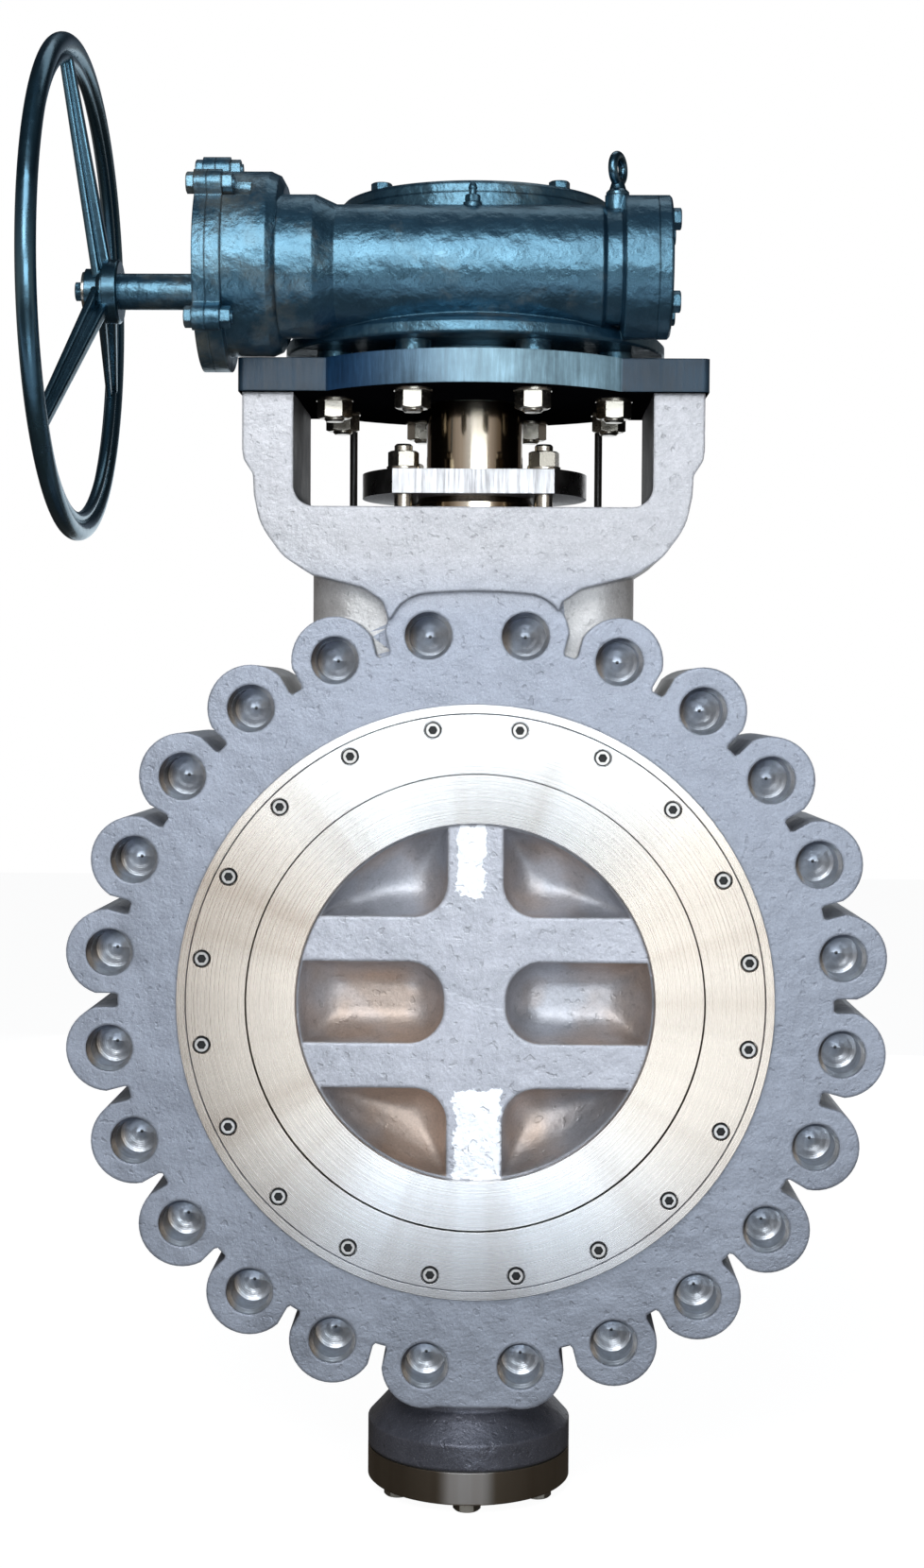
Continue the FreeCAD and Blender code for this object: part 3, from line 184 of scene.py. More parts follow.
def mix_colour(tree, factor, first, second, mode="MIX"):
    node = add(tree, "ShaderNodeMix", data_type="RGBA", blend_type=mode)
    for slot, value in ((node.inputs[0], factor), (node.inputs[6], first), (node.inputs[7], second)):
        if isinstance(value, (int, float)):
            slot.default_value = value
        elif isinstance(value, tuple):
            slot.default_value = (*value, 1.0)
        else:
            link(tree, value, slot)
    return node.outputs[2]


def shaded(tree, tone, shade, where=1.0):
    """The tone with a shade multiplied in, as far as where says."""
    return mix_colour(tree, where, tone, shade, "MULTIPLY")


def bump(tree, shader, layers, edge_mm=0.0):
    """Stacks height layers (height socket, depth in mm) over rounded edges."""
    normal = None
    if edge_mm:
        bevel = add(tree, "ShaderNodeBevel", samples=6)
        bevel.inputs["Radius"].default_value = edge_mm * MM
        normal = bevel.outputs["Normal"]
    for height, depth in layers:
        node = add(tree, "ShaderNodeBump")
        node.inputs["Strength"].default_value = 1.0
        node.inputs["Distance"].default_value = depth * MM
        link(tree, height, node.inputs["Height"])
        if normal is not None:
            link(tree, normal, node.inputs["Normal"])
        normal = node.outputs["Normal"]
    if normal is not None:
        link(tree, normal, shader.inputs["Normal"])


# Places round an axis
def offsets_from(tree, centre, plane):
    """Distances from an axis along the two directions of a plane, with their signs."""
    axes = place_axes(tree)
    return [math_node(tree, "SUBTRACT", axes[axis], start) for axis, start in zip(plane, centre)]


def radius_from(tree, centre, plane):
    return length_of(tree, *offsets_from(tree, centre, plane))


def direction_from(tree, centre, plane):
    """Unit direction from an axis, which has no seam where an angle would jump."""
    offset = add(tree, "ShaderNodeCombineXYZ")
    for slot, distance in zip(offset.inputs, offsets_from(tree, centre, plane)):
        link(tree, distance, slot)
    unit = add(tree, "ShaderNodeVectorMath", operation="NORMALIZE")
    link(tree, offset.outputs[0], unit.inputs[0])
    return unit.outputs["Vector"]


def offsets_on_circle(tree, circle_r, step):
    """Offsets in x and z from the nearest place that stands on a circle, half a step off the x axis."""
    axes = place_axes(tree)
    angle = math_node(tree, "ARCTAN2", axes["Z"], axes["X"])
    steps = math_node(tree, "SUBTRACT", math_node(tree, "DIVIDE", angle, step), 0.5)
    turn = math_node(tree, "MULTIPLY", math_node(tree, "ADD", math_node(tree, "ROUND", steps), 0.5), step)
    offsets = []
    for axis, wave in (("X", "COSINE"), ("Z", "SINE")):
        centre = math_node(tree, "MULTIPLY", math_node(tree, wave, turn), circle_r)
        offsets.append(math_node(tree, "SUBTRACT", axes[axis], centre))
    return offsets


def skim_mask(tree, low, high):
    """1 inside a ragged rectangle in x and z on the disc's front, 0 outside it."""
    axes = place_axes(tree)
    centred = math_node(tree, "SUBTRACT", noise(tree, 40.0, 4.0, 0.7), 0.5)
    ragged = math_node(tree, "MULTIPLY", centred, 0.03)
    soft = 0.6 * MM
    mask = ease(tree, axes["Y"], 12 * MM, 8 * MM)
    for axis, first, last in (("X", low[0], high[0]), ("Z", low[1], high[1])):
        value = math_node(tree, "ADD", axes[axis], ragged)
        rise = ease(tree, value, first - soft, first + soft)
        fall = ease(tree, value, last + soft, last - soft)
        mask = math_node(tree, "MULTIPLY", mask, math_node(tree, "MULTIPLY", rise, fall))
    return mask


# Finishes
def cast_metal(name, colour, metallic=0.55, rough=0.46, edge=4.0, grain=0.36, painted_glint_level=0.12,
               patches=(), warm_tint=None, painted_shade_below=None):
    """Blasted casting with blotches, lumps, pits and painted glints.

    The patches are corners of skimmed places, a warm tint colours the casting in clouds, and the last
    option holds a low and a high z and the tint of a painted shade, which is full below the low z and fades
    out upwards to the high z.
    """
    material, tree, shader = new_material(name)
    shader.inputs["Metallic"].default_value = metallic
    blotch = noise(tree, 14.0, 5.0, 0.6)
    mottle = grey_ramp(tree, noise(tree, 62.0, 6.0, 0.72), (0.34, 0.66), (0.66, 1.0))
    speck = grey_ramp(tree, noise(tree, 420.0, 2.0, 0.5), (0.35, 0.5), (0.65, 1.0))
    pits = grey_ramp(tree, noise(tree, 120.0, 2.0, 0.4), (0.30, 0.0), (0.37, 1.0))
    tone = ramp(tree, blotch, [(0.3, tinted(colour, 0.80)), (0.7, tinted(colour, 1.16))])
    tone = shaded(tree, tone, mottle, 0.3)
    tone = shaded(tree, tone, speck, 0.25)
    tone = shaded(tree, tone, pits, 0.12)
    if warm_tint is not None:
        clouds = grey_ramp(tree, noise(tree, 9.0, 3.0, 0.5), (0.42, 0.0), (0.62, 1.0))
        tone = shaded(tree, tone, warm_tint, clouds)
    # Painted shade: the tint darkens the casting below the low z and fades out upwards to the high z
    if painted_shade_below is not None:
        low, high, tint = painted_shade_below
        tone = shaded(tree, tone, tint, ease(tree, place_axes(tree)["Z"], high, low))
    # Painted glints: bright specks added to the colour
    painted_glints = grey_ramp(tree, noise(tree, 900.0, 1.0, 0.4), (0.62, 0.0), (0.72, painted_glint_level))
    tone = mix_colour(tree, 1.0, tone, painted_glints, "ADD")
    rough_map = grey_ramp(tree, blotch, (0.3, rough - 0.08), (0.7, rough + 0.08))
    for low, high in patches:
        mask = skim_mask(tree, low, high)
        tone = mix_colour(tree, mask, tone, (0.86, 0.87, 0.9))
        rough_map = mix_colour(tree, mask, rough_map, grey(0.3))
    link(tree, tone, shader.inputs["Base Color"])
    link(tree, rough_map, shader.inputs["Roughness"])
    lumps = noise(tree, 38.0, 4.0)
    skin = noise(tree, 330.0, 3.0, 0.65)
    bump(tree, shader, [(lumps, 1.7), (pits, 0.25), (skin, grain)], edge)
    return material


def turned_metal(name, colour, centre=(0.0, 0.0), plane="XZ", tangent="Y", rough=0.27, groove=0.004,
                 waves=5200.0, anisotropy=0.7, edge=0.6, painted_sheen=0.6, painted_warm_sides=False, painted_shade_from=None):
    """Turned face or shaft, with fine grooves round its axis and broad painted fans of light and shade.

    One flag paints a warm reflection on a ring at its left and right, and a distance in x from the axis
    tells where painted shade begins on the flanks of a shaft.
    """
    material, tree, shader = new_material(name)
    shader.inputs["Metallic"].default_value = 1.0
    radius = radius_from(tree, centre, plane)
    fine = radial_noise(tree, radius, 900.0, 3.0)
    cloud = noise(tree, 5.0, 3.0, 0.5)
    fan = noise(tree, 2.6, 3.0, 0.6, vector=direction_from(tree, centre, plane))
    fans = ramp(tree, fan, [(0.32, (0.62, 0.57, 0.53)), (0.5, grey(0.88)), (0.66, grey(1.0))])
    tone = ramp(tree, cloud, [(0.25, tinted(colour, 0.9)), (0.75, tinted(colour, 1.06))])
    tone = shaded(tree, tone, grey_ramp(tree, fine, (0.3, 0.72), (0.7, 1.0)), 0.25)
    # Painted sheen: broad fans of light and shade round the axis
    tone = shaded(tree, tone, fans, painted_sheen)
    # Painted warm reflection at the ring's left and right
    if painted_warm_sides:
        across = add(tree, "ShaderNodeSeparateXYZ")
        link(tree, direction_from(tree, centre, plane), across.inputs[0])
        sides = ease(tree, math_node(tree, "ABSOLUTE", across.outputs["X"]), 0.35, 0.95)
        tone = shaded(tree, tone, (0.82, 0.72, 0.62), sides)
    # Painted shade on the flanks of a shaft, beginning at the given distance from the axis
    if painted_shade_from is not None:
        aside = math_node(tree, "ABSOLUTE", offsets_from(tree, centre, plane)[0])
        flank = ease(tree, aside, painted_shade_from, painted_shade_from * 2.2)
        tone = shaded(tree, tone, (0.26, 0.22, 0.17), flank)
    link(tree, tone, shader.inputs["Base Color"])
    rough_map = grey_ramp(tree, fine, (0.3, rough - 0.05), (0.7, rough + 0.07))
    link(tree, rough_map, shader.inputs["Roughness"])
    shader.inputs["Anisotropic"].default_value = anisotropy
    around = add(tree, "ShaderNodeTangent", direction_type="RADIAL", axis=tangent)
    link(tree, around.outputs[0], shader.inputs["Tangent"])
    wobble = noise(tree, 3.0, 2.0)
    bump(tree, shader, [(rings(tree, radius, waves), groove), (fine, groove * 1.5), (wobble, 0.05)], edge)
    return material


def drilled_metal(name, colour, rough=0.36):
    """Drill marks round each hole axis, painted shade at the point and upper left, and a painted warm
    reflection at the left.
    """
    material, tree, shader = new_material(name)
    shader.inputs["Metallic"].default_value = 0.9
    across, upwards = offsets_on_circle(tree, LUG_CIRCLE_R, LUG_STEP)
    radius = length_of(tree, across, upwards)
    tone = ramp(tree, noise(tree, 55.0, 4.0, 0.65), [(0.3, tinted(colour, 0.6)), (0.68, colour)])
    # Painted shade at the drill point
    tone = mix_colour(tree, ease(tree, radius, 1.0 * MM, 2.2 * MM), grey(0.12), tone)
    # Painted shade towards the upper left of each hole
    lean = math_node(tree, "SUBTRACT", upwards, math_node(tree, "MULTIPLY", across, 0.7))
    tone = shaded(tree, tone, (0.17, 0.18, 0.21), ease(tree, lean, -4 * MM, 22 * MM))
    # Painted warm reflection at the left of each hole
    leftwards = math_node(tree, "MULTIPLY", across, -1.0)
    tone = shaded(tree, tone, (0.9, 0.72, 0.55), ease(tree, leftwards, 11 * MM, 19 * MM))
    link(tree, tone, shader.inputs["Base Color"])
    shader.inputs["Roughness"].default_value = rough
    fine = rings(tree, radius, 3600.0)
    coarse = rings(tree, radius, 900.0)
    bump(tree, shader, [(fine, 0.02), (coarse, 0.06), (noise(tree, 90.0, 3.0), 0.5)], 0.5)
    return material


def milled_metal(name, colour, rough=0.4):
    """Bright milled faces with fine upright cutter strokes."""
    material, tree, shader = new_material(name)
    shader.inputs["Metallic"].default_value = 0.9
    strokes = noise(tree, 330.0, 3.0, 0.7, stretch=(1.0, 1.0, 0.06))
    cloud = grey_ramp(tree, noise(tree, 30.0, 5.0, 0.7), (0.3, 0.7), (0.6, 1.0))
    tone = ramp(tree, strokes, [(0.34, tinted(colour, 0.72)), (0.5, colour), (0.66, tinted(colour, 1.15))])
    link(tree, shaded(tree, tone, cloud, 0.5), shader.inputs["Base Color"])
    rough_map = grey_ramp(tree, strokes, (0.3, rough + 0.08), (0.7, rough - 0.06))
    link(tree, rough_map, shader.inputs["Roughness"])
    bump(tree, shader, [(strokes, 0.08)], 0.8)
    return material


def enamel(name, colour, rough=0.34, peel=0.2, edge=2.5, coat=0.1, dust=0.0):
    """Glossy gear enamel with orange peel and, where dust is above 0, clouds of brown dust."""
    material, tree, shader = new_material(name)
    tone = ramp(tree, noise(tree, 9.0, 3.0), [(0.3, tinted(colour, 0.75)), (0.7, tinted(colour, 1.3))])
    if dust:
        clouds = grey_ramp(tree, noise(tree, 5.5, 6.0, 0.72), (0.54, 0.0), (0.70, dust))
        tone = mix_colour(tree, clouds, tone, (0.20, 0.17, 0.11))
    link(tree, tone, shader.inputs["Base Color"])
    rough_map = grey_ramp(tree, noise(tree, 30.0, 4.0), (0.3, rough - 0.06), (0.7, rough + 0.08))
    link(tree, rough_map, shader.inputs["Roughness"])
    shader.inputs["IOR"].default_value = 1.9
    shader.inputs["Specular IOR Level"].default_value = 1.0
    shader.inputs["Specular Tint"].default_value = (0.36, 0.73, 0.96, 1.0)
    shader.inputs["Coat Weight"].default_value = coat
    shader.inputs["Coat Roughness"].default_value = 0.28
    shader.inputs["Coat Tint"].default_value = (0.72, 0.90, 1.0, 1.0)
    lumps = noise(tree, 26.0, 2.0)
    ripples = noise(tree, 75.0, 3.0)
    grain = noise(tree, 190.0, 2.0)
    bump(tree, shader, [(lumps, peel * 14), (ripples, peel * 6), (grain, peel * 1.8)], edge)
    return material


def brushed_paint(name, colour):
    """Thin slate paint with upright strokes, with painted light on the plate's round front, pale and warm
    at the left and blue at the right, and painted shade beyond it.
    """
    material, tree, shader = new_material(name)
    strokes = noise(tree, 260.0, 4.0, 0.7, stretch=(1.0, 1.0, 0.1))
    cloud = grey_ramp(tree, noise(tree, 22.0, 4.0, 0.6), (0.32, 0.5), (0.64, 1.0))
    tone = ramp(tree, strokes, [(0.32, tinted(colour, 0.75)), (0.52, colour), (0.7, tinted(colour, 1.35))])
    tone = shaded(tree, tone, cloud, 0.8)
    across = math_node(tree, "SUBTRACT", place_axes(tree)["X"], STEM.x)
    left = ease(tree, across, 50 * MM, -130 * MM)
    # Painted light on the round front, pale and warm at the left and dark blue at the right
    painted_light_front = shaded(tree, tone, mix_colour(tree, left, (5.0, 4.2, 3.5), (0.2, 0.5, 0.85)))
    # Painted shade beyond the round front
    painted_shade_wings = shaded(tree, tone, (0.20, 0.30, 0.36))
    from_stem = math_node(tree, "ABSOLUTE", across)
    on_wing = ease(tree, from_stem, PLATE_ROUND_HALF_W - 3 * MM, PLATE_ROUND_HALF_W + 3 * MM)
    link(tree, mix_colour(tree, on_wing, painted_light_front, painted_shade_wings), shader.inputs["Base Color"])
    shader.inputs["Metallic"].default_value = 0.3
    link(tree, grey_ramp(tree, strokes, (0.3, 0.34), (0.7, 0.5)), shader.inputs["Roughness"])
    bump(tree, shader, [(strokes, 0.12)], 2.0)
    return material


def plain_metal(name, colour, rough=0.3, edge=0.8, metallic=1.0, specular=0.5):
    """Plain metal with faint clouds, or with metallic at 0 a finish for what isn't bare metal."""
    material, tree, shader = new_material(name)
    shader.inputs["Metallic"].default_value = metallic
    shader.inputs["Specular IOR Level"].default_value = specular
    cloud = noise(tree, 60.0, 3.0)
    link(tree, ramp(tree, cloud, [(0.3, tinted(colour, 0.85)), (0.7, colour)]), shader.inputs["Base Color"])
    rough_map = grey_ramp(tree, cloud, (0.3, rough - 0.06), (0.7, rough + 0.06))
    link(tree, rough_map, shader.inputs["Roughness"])
    bump(tree, shader, [(noise(tree, 500.0, 2.0), 0.03)], edge)
    return material


def screw_head_metal(name, screws):
    """Steel heads with painted shade on the rim and in the socket, by the distance from each screw's own
    axis.
    """
    material, tree, shader = new_material(name)
    reach = [math.hypot(vertex.co.x, vertex.co.z) for vertex in screws.data.vertices]
    circle_r = (min(reach) + max(reach)) / 2
    head_r = (max(reach) - min(reach)) / 2
    radius = length_of(tree, *offsets_on_circle(tree, circle_r, SCREW_STEP))
    # Painted shade in the socket and on the rim, either side of a lighter face
    socket = [(0.0, grey(0.25)), (0.16, grey(0.12)), (0.22, grey(0.02)), (0.44, grey(0.02))]
    face = [(0.50, (0.62, 0.60, 0.57)), (0.80, (0.50, 0.48, 0.46))]
    rim = [(0.86, grey(0.03)), (1.0, grey(0.015))]
    tone = ramp(tree, math_node(tree, "DIVIDE", radius, head_r), socket + face + rim)
    link(tree, tone, shader.inputs["Base Color"])
    shader.inputs["Metallic"].default_value = 0.85
    shader.inputs["Roughness"].default_value = 0.32
    bump(tree, shader, [(noise(tree, 700.0, 2.0), 0.03)], 0.2)
    return material


# Castings
# Painted shade on the casting below the yoke, which leaves the yoke lighter
PAINTED_SHADE_BELOW_YOKE = (0.365, 0.45, (0.76, 0.82, 0.92))
CAST = cast_metal("cast_stainless", (0.485, 0.485, 0.505), painted_shade_below=PAINTED_SHADE_BELOW_YOKE)
CAST_DISC = cast_metal("cast_disc", (0.53, 0.54, 0.59), metallic=0.6, rough=0.42, edge=5.0, grain=0.25,
                       patches=SKIMMED)
CAST_POCKET = cast_metal("cast_pocket", (0.55, 0.56, 0.60), metallic=0.8, edge=14.0, grain=0.12,
                         painted_glint_level=0.06, warm_tint=(1.0, 0.80, 0.64))
# Painted light: a lighter casting on the trunk, which stands in the yoke's shade
CAST_TRUNK_PAINTED_LIGHT = cast_metal("cast_trunk_painted_light", (0.66, 0.65, 0.64), metallic=0.5, rough=0.48)
# Painted shade, near black, on the inner sides of the yoke's window
CAST_WINDOW_PAINTED_SHADE = cast_metal("cast_window_painted_shade", (0.02, 0.02, 0.022), metallic=0.1, rough=0.6, painted_glint_level=0.0)
CAST_NECK = cast_metal("cast_neck", (0.15, 0.155, 0.19), metallic=0.6, rough=0.4)

# Machined faces
# Lug holes, with painted shade and a painted warm reflection in their colour
HOLE = drilled_metal("drilled_holes", (0.88, 0.93, 1.0))
# Machined ring with painted sheen and a painted warm reflection at its left and right
RING = turned_metal("machined_ring", (0.80, 0.80, 0.80), painted_warm_sides=True)
# Ground stem with painted sheen and painted shade on its flanks
GROUND_STEM = turned_metal("ground_stem", (0.86, 0.76, 0.62), centre=(STEM.x, STEM.y), plane="XY",
                           tangent="Z", rough=0.13, groove=0.002, waves=3000.0, anisotropy=0.5,
                           edge=0.4, painted_sheen=0.5, painted_shade_from=12 * MM)
# Near-white cover, so that its middle reads as a painted highlight between flanks of painted shade
TURNED_COVER = turned_metal("turned_cover", (0.95, 0.93, 0.92), centre=(STEM.x, STEM.y), plane="XY",
                            tangent="Z", rough=0.42, groove=0.006, waves=3500.0, anisotropy=0.6,
                            painted_shade_from=14 * MM)
GLAND = milled_metal("milled_gland", (0.44, 0.44, 0.45))
# Painted shade: the gland's turned rounds darker than its milled flats
GLAND_ROUND_PAINTED_SHADE = plain_metal("gland_round", (0.20, 0.19, 0.185), edge=0.5)

# Paints
ENAMEL = enamel("gearbox_enamel", (0.0020, 0.0095, 0.019), dust=0.5)
WHEEL_ENAMEL = enamel("handwheel_enamel", (0.0012, 0.0050, 0.0080), rough=0.24, peel=0.03, edge=1.5,
                      coat=0.3)
# Adapter plate paint, with painted light on its round front and painted shade beyond it
PLATE_PAINT = brushed_paint("adapter_paint", (0.055, 0.105, 0.15))
# Painted shade: the plate's underside near black and without any reflection
UNDERSIDE_PAINTED_SHADE = plain_metal("plate_underside_painted_shade", (0.004, 0.004, 0.005), edge=0.5, metallic=0.0, specular=0.0)

# Fasteners and inner pieces
SCREW = screw_head_metal("screw_heads_painted_shade", nodes["retainer_screws"])
# Painted shade, near black, for what lies behind the screws' faces
SCREW_PAINTED_SHADE = plain_metal("screw_sockets_painted_shade", (0.02, 0.02, 0.02), rough=0.5, edge=0.2, metallic=0.2)
NUT = plain_metal("bright_nuts", (0.50, 0.47, 0.41), rough=0.24, edge=1.0)
OLD_BOLT = plain_metal("cover_bolts", (0.42, 0.39, 0.34), rough=0.38)
BLACK_ROD = plain_metal("black_rod", (0.02, 0.018, 0.016), rough=0.4, edge=0.5, metallic=0.2)
BRONZE = plain_metal("bronze", (0.55, 0.35, 0.15), rough=0.35)
GEAR = plain_metal("gear_steel", (0.45, 0.45, 0.46))
GRAPHITE = plain_metal("graphite", (0.03, 0.03, 0.03), rough=0.6, edge=0.3, metallic=0.0)
POLYMER = plain_metal("seat_polymer", (0.8, 0.78, 0.72), rough=0.45, edge=0.5, metallic=0.0)

SLOT_FINISH = {
    "cast_stainless": CAST,
    "machined_stainless": RING,
    "polished_stem": GROUND_STEM,
    "screw_steel": NUT,
    "cover_steel": TURNED_COVER,
    "gear_enamel": ENAMEL,
    "adapter_paint": PLATE_PAINT,
    "wheel_enamel": WHEEL_ENAMEL,
    "gear_steel": GEAR,
    "bronze": BRONZE,
    "graphite": GRAPHITE,
    "seat_polymer": POLYMER,
}
NODE_FINISH = {
    "retainer_screws": SCREW,
    "bottom_bolts": OLD_BOLT,
    "gland_flange": GLAND,
    "gland_follower": GROUND_STEM,
    "tie_rods": BLACK_ROD,
}

for row in frame["record"]["subparts"]:
    name = row["node"]
    finish = NODE_FINISH.get(name, SLOT_FINISH[row["material_slot"]])
    nodes[name].data.materials.clear()
    nodes[name].data.materials.append(finish)


def paint_faces(name, finish, chosen):
    """Gives the faces of a node that chosen(centre, normal) picks another finish."""
    mesh = nodes[name].data
    mesh.materials.append(finish)
    index = len(mesh.materials) - 1
    for polygon in mesh.polygons:
        if chosen(polygon.center, polygon.normal):
            polygon.material_index = index


# Places on the disc
def on_disc_casting(centre, normal):
    """True on the front inside the machined step, and on all that lies behind the disc's edge."""
    inside_step = math.hypot(centre.x, centre.z) < DISC_STEP_R + SLACK and abs(normal.y) > FLAT
    return inside_step or centre.y > DISC_EDGE_Y + 1 * MM


def in_pocket(centre, normal):
    inside_step = math.hypot(centre.x, centre.z) < DISC_STEP_R - SLACK
    return inside_step and DISC_STEP_Y + 0.1 * MM < centre.y < POCKET_FLOOR_Y + SLACK


# Places on the body
def on_raised_face(centre, normal):
    beyond_lugs = centre.y < -SLACK or centre.y > LUG_LENGTH + SLACK
    return math.hypot(centre.x, centre.z) < RAISED_FACE_R + SLACK and beyond_lugs


def in_lug_hole(centre, normal):
    """True on the walls and cones of the lug holes, which stand half a step off the x axis."""
    turn = (round(math.atan2(centre.z, centre.x) / LUG_STEP - 0.5) + 0.5) * LUG_STEP
    hole_x = LUG_CIRCLE_R * math.cos(turn)
    hole_z = LUG_CIRCLE_R * math.sin(turn)
    near_hole = math.hypot(centre.x - hole_x, centre.z - hole_z) < LUG_MOUTH_R + 0.2 * MM
    return near_hole and abs(normal.y) < FLAT and 0.0 < centre.y < LUG_LENGTH


def on_neck(centre, normal):
    near_stem = math.hypot(centre.x - STEM.x, centre.y - STEM.y) < BOTTOM_R + 2 * MM
    return centre.z < NECK_TOP_Z and near_stem


def on_window_side(centre, normal):
    inside_arms = abs(centre.x - STEM.x) < WINDOW_HALF_W + SLACK and abs(normal.x) > SLANTED
    return inside_arms and DECK_Z + SLACK < centre.z < PLATE_Z + 1 * MM


def on_trunk(centre, normal):
    """True on the trunk and the walls round it, except in lug holes and on what faces back."""
    in_depth = TRUNK_Y[0] < centre.y < TRUNK_Y[1] and normal.y < 0.1
    in_height = TRUNK_Z[0] < centre.z < TRUNK_Z[1]
    clear_of_stem = abs(centre.x - STEM.x) > TRUNK_CLEAR_X
    return in_depth and in_height and clear_of_stem and not in_lug_hole(centre, normal)


# The gland is bright on its milled flats and has painted shade on its turned rounds
def on_gland_round(centre, normal):
    return abs(normal.y) < FLAT and abs(normal.z) < SLANTED


paint_faces("disc", CAST_DISC, on_disc_casting)
paint_faces("disc", CAST_POCKET, in_pocket)
paint_faces("body_casting", RING, on_raised_face)
paint_faces("body_casting", HOLE, in_lug_hole)
paint_faces("body_casting", CAST_NECK, on_neck)
# Painted shade on the window's inner sides
paint_faces("body_casting", CAST_WINDOW_PAINTED_SHADE, on_window_side)
# Painted light on the trunk
paint_faces("body_casting", CAST_TRUNK_PAINTED_LIGHT, on_trunk)
paint_faces("gland_flange", GLAND_ROUND_PAINTED_SHADE, on_gland_round)
# Painted shade on the plate's underside
paint_faces("adapter_plate", UNDERSIDE_PAINTED_SHADE, lambda centre, normal: normal.z < -FLAT)

# The screws carry painted shade behind their faces: on their sockets, rims and shanks
screw_face_y = min(vertex.co.y for vertex in nodes["retainer_screws"].data.vertices)
paint_faces("retainer_screws", SCREW_PAINTED_SHADE, lambda centre, normal: centre.y > screw_face_y + 0.6 * MM)

# Camera, fitted to the bolt circle and the screws of the retainer
EYE_PLACE = Vector((0.03118, -2.24993, 0.30249))
PITCH = -0.0390
YAW = -0.0200
ROLL = 0.0062
FOCAL_PX = 2445.6
PHOTO_HEIGHT_PX = 1660.0
SENSOR_MM = 36.0
forward = Vector((math.sin(YAW) * math.cos(PITCH), math.cos(YAW) * math.cos(PITCH), math.sin(PITCH)))
level = Vector((math.cos(YAW), -math.sin(YAW), 0.0))
above = level.cross(forward)
right = math.cos(ROLL) * level + math.sin(ROLL) * above
upward = -math.sin(ROLL) * level + math.cos(ROLL) * above
camera = bpy.data.objects.new("camera", bpy.data.cameras.new("camera"))
bpy.context.scene.collection.objects.link(camera)
camera.matrix_world = Matrix((
    (right.x, upward.x, -forward.x, EYE_PLACE.x),
    (right.y, upward.y, -forward.y, EYE_PLACE.y),
    (right.z, upward.z, -forward.z, EYE_PLACE.z),
    (0.0, 0.0, 0.0, 1.0)))
camera.data.lens = FOCAL_PX / PHOTO_HEIGHT_PX * SENSOR_MM
camera.data.sensor_width = SENSOR_MM
bpy.context.scene.camera = camera

# Lamps: name, place, target, width and height, power and colour
LAMPS = (
    ("key", (-0.5, -2.3, 1.35), (0.0, 0.0, 0.3), (1.3, 0.6), 22.0, (0.98, 0.99, 1.0)),
    ("front", (0.7, -3.4, 0.6), (0.0, 0.0, 0.3), (2.4, 0.6), 30.0, (0.88, 0.95, 1.0)),
    ("upper", (-0.15, -1.6, 1.75), (0.0, 0.0, 0.5), (1.5, 0.45), 13.0, (0.9, 0.95, 1.0)),
    ("rear", (0.3, 3.0, 0.2), (0.0, 0.2, 0.1), (2.6, 1.4), 12.0, (0.93, 0.97, 1.0)),
    ("low", (0.04, -1.7, -0.40), (0.0, 0.0, -0.34), (1.0, 0.22), 3.0, (0.82, 0.91, 1.0)),
    ("top", (0.2, 0.9, 2.8), (0.0, 0.1, 0.5), (1.6, 1.0), 5.0, (0.93, 0.97, 1.0)),
)


def area_light(name, place, target, size, power, colour):
    light = bpy.data.lights.new(name, "AREA")
    light.shape = "RECTANGLE"
    light.size, light.size_y = size
    light.energy = power
    light.color = colour
    lamp = bpy.data.objects.new(name, light)
    bpy.context.scene.collection.objects.link(lamp)
    lamp.location = place
    lamp.rotation_euler = (Vector(target) - Vector(place)).to_track_quat("-Z", "Y").to_euler()
    lamp.visible_camera = False


for lamp_row in LAMPS:
    area_light(*lamp_row)


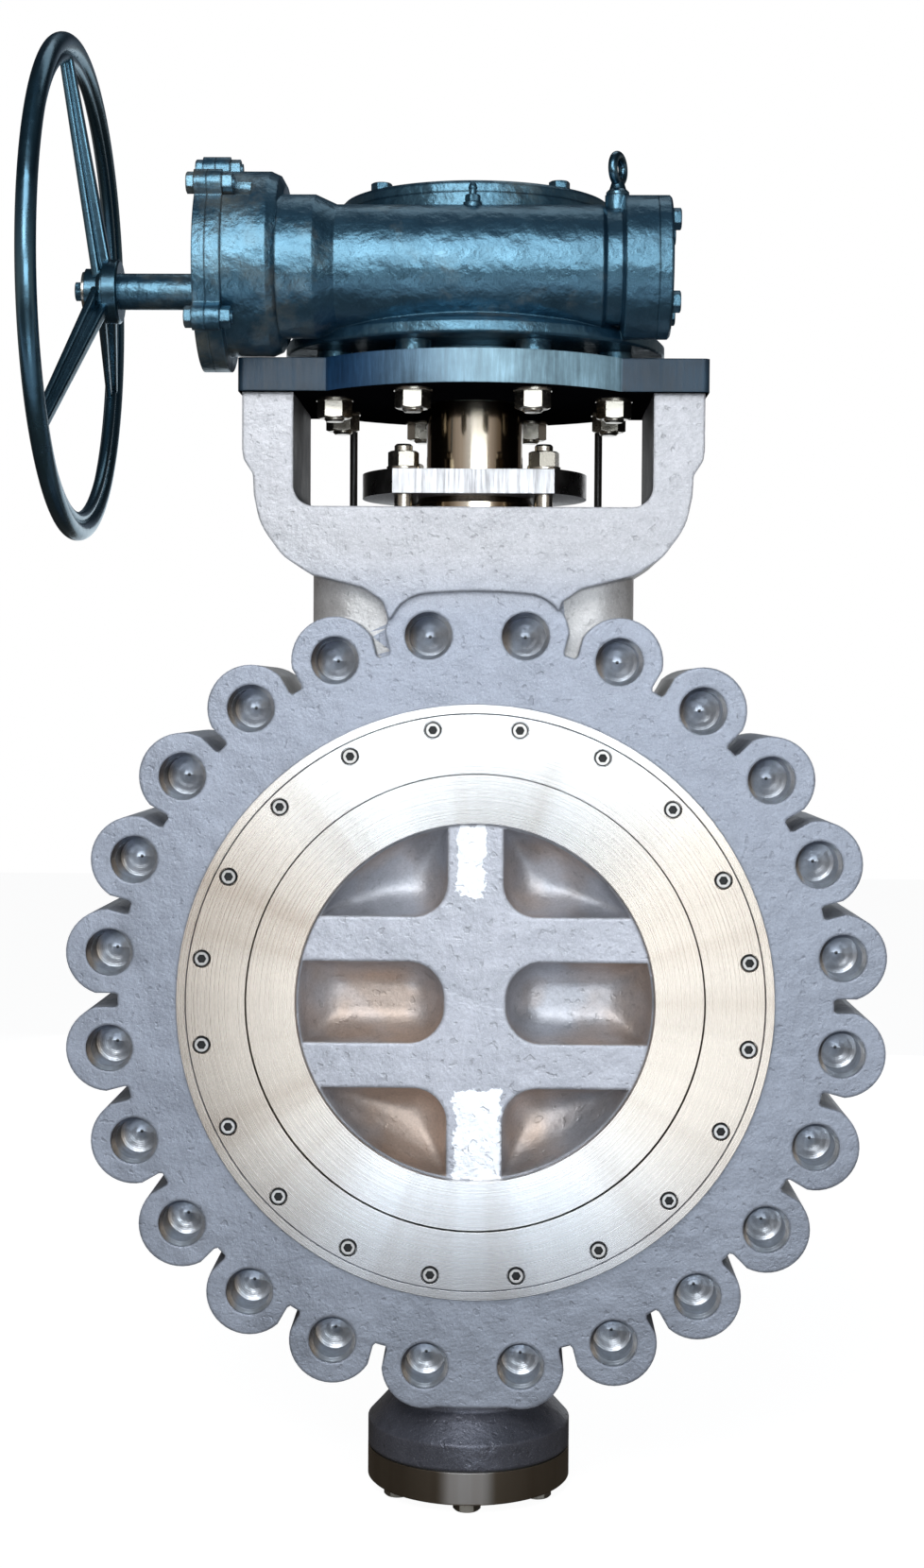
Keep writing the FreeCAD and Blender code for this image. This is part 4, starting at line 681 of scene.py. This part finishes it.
def studio_world():
    """A soft room, bright at eye height in front and dim above, below, at the sides and behind."""
    world = bpy.data.worlds.new("studio")
    world.use_nodes = True
    tree = world.node_tree
    tree.nodes.clear()
    place = add(tree, "ShaderNodeSeparateXYZ")
    link(tree, add(tree, "ShaderNodeTexCoord").outputs["Generated"], place.inputs[0])
    height = math_node(tree, "ADD", math_node(tree, "MULTIPLY", place.outputs["Z"], 0.5), 0.5)
    below = [(0.0, (0.10, 0.08, 0.06)), (0.30, (0.28, 0.23, 0.19)), (0.41, (0.74, 0.78, 0.86))]
    eye_height = [(0.50, (1.0, 1.0, 1.0)), (0.60, (0.58, 0.66, 0.78))]
    overhead = [(0.72, (0.07, 0.09, 0.12)), (1.0, (0.12, 0.16, 0.20))]
    room = ramp(tree, height, below + eye_height + overhead)
    sideways = ease(tree, math_node(tree, "ABSOLUTE", place.outputs["X"]), 0.12, 0.55)
    room = shaded(tree, room, (0.66, 0.57, 0.49), sideways)
    room = shaded(tree, room, grey(0.45), ease(tree, place.outputs["Y"], -0.5, 0.4))
    surround = add(tree, "ShaderNodeBackground")
    surround.inputs["Strength"].default_value = 0.8
    link(tree, room, surround.inputs["Color"])
    white = add(tree, "ShaderNodeBackground")
    white.inputs["Color"].default_value = (1.0, 1.0, 1.0, 1.0)
    white.inputs["Strength"].default_value = 1.0
    seen = add(tree, "ShaderNodeMixShader")
    link(tree, add(tree, "ShaderNodeLightPath").outputs["Is Camera Ray"], seen.inputs[0])
    link(tree, surround.outputs[0], seen.inputs[1])
    link(tree, white.outputs[0], seen.inputs[2])
    output = add(tree, "ShaderNodeOutputWorld")
    link(tree, seen.outputs[0], output.inputs["Surface"])
    return world


def floor_finish():
    """White to the camera but for the soft shadow.

    To other rays it glows only well in front of the valve, and to mirror rays only in the band that
    the lower half of the ring reflects.
    """
    material, tree, shader = new_material("floor_white")
    paths = add(tree, "ShaderNodeLightPath").outputs
    to_camera = paths["Is Camera Ray"]
    depth = place_axes(tree)["Y"]
    in_front = ease(tree, depth, -1.7, -2.0)
    in_band = math_node(tree, "MULTIPLY", in_front, ease(tree, depth, -2.8, -2.3))
    lit = mix_colour(tree, paths["Is Glossy Ray"], in_front, in_band)
    surface = mix_colour(tree, to_camera, (0.16, 0.13, 0.10), (0.85, 0.84, 0.83))
    link(tree, surface, shader.inputs["Base Color"])
    shader.inputs["Roughness"].default_value = 0.8
    glow = add(tree, "ShaderNodeEmission")
    link(tree, mix_colour(tree, to_camera, (0.70, 0.77, 0.90), (1.0, 1.0, 1.0)), glow.inputs["Color"])
    glow.inputs["Strength"].default_value = 1.25
    blend = add(tree, "ShaderNodeMixShader")
    share = mix_colour(tree, to_camera, math_node(tree, "MULTIPLY", lit, 0.7), grey(0.76))
    link(tree, share, blend.inputs[0])
    link(tree, shader.outputs[0], blend.inputs[1])
    link(tree, glow.outputs[0], blend.inputs[2])
    link(tree, blend.outputs[0], tree.nodes["Material Output"].inputs["Surface"])
    return material


bpy.context.scene.world = studio_world()

# Floor under the valve
FLOOR_GAP = 0.0005
FLOOR_SIZE = 14.0
FLOOR_MIDDLE_Y = 1.0
bpy.ops.mesh.primitive_plane_add(size=FLOOR_SIZE, location=(0.0, FLOOR_MIDDLE_Y, low_start.z - FLOOR_GAP))
floor = bpy.context.object
floor.name = "floor"
floor.data.materials.append(floor_finish())

bpy.context.scene.view_settings.view_transform = "Standard"
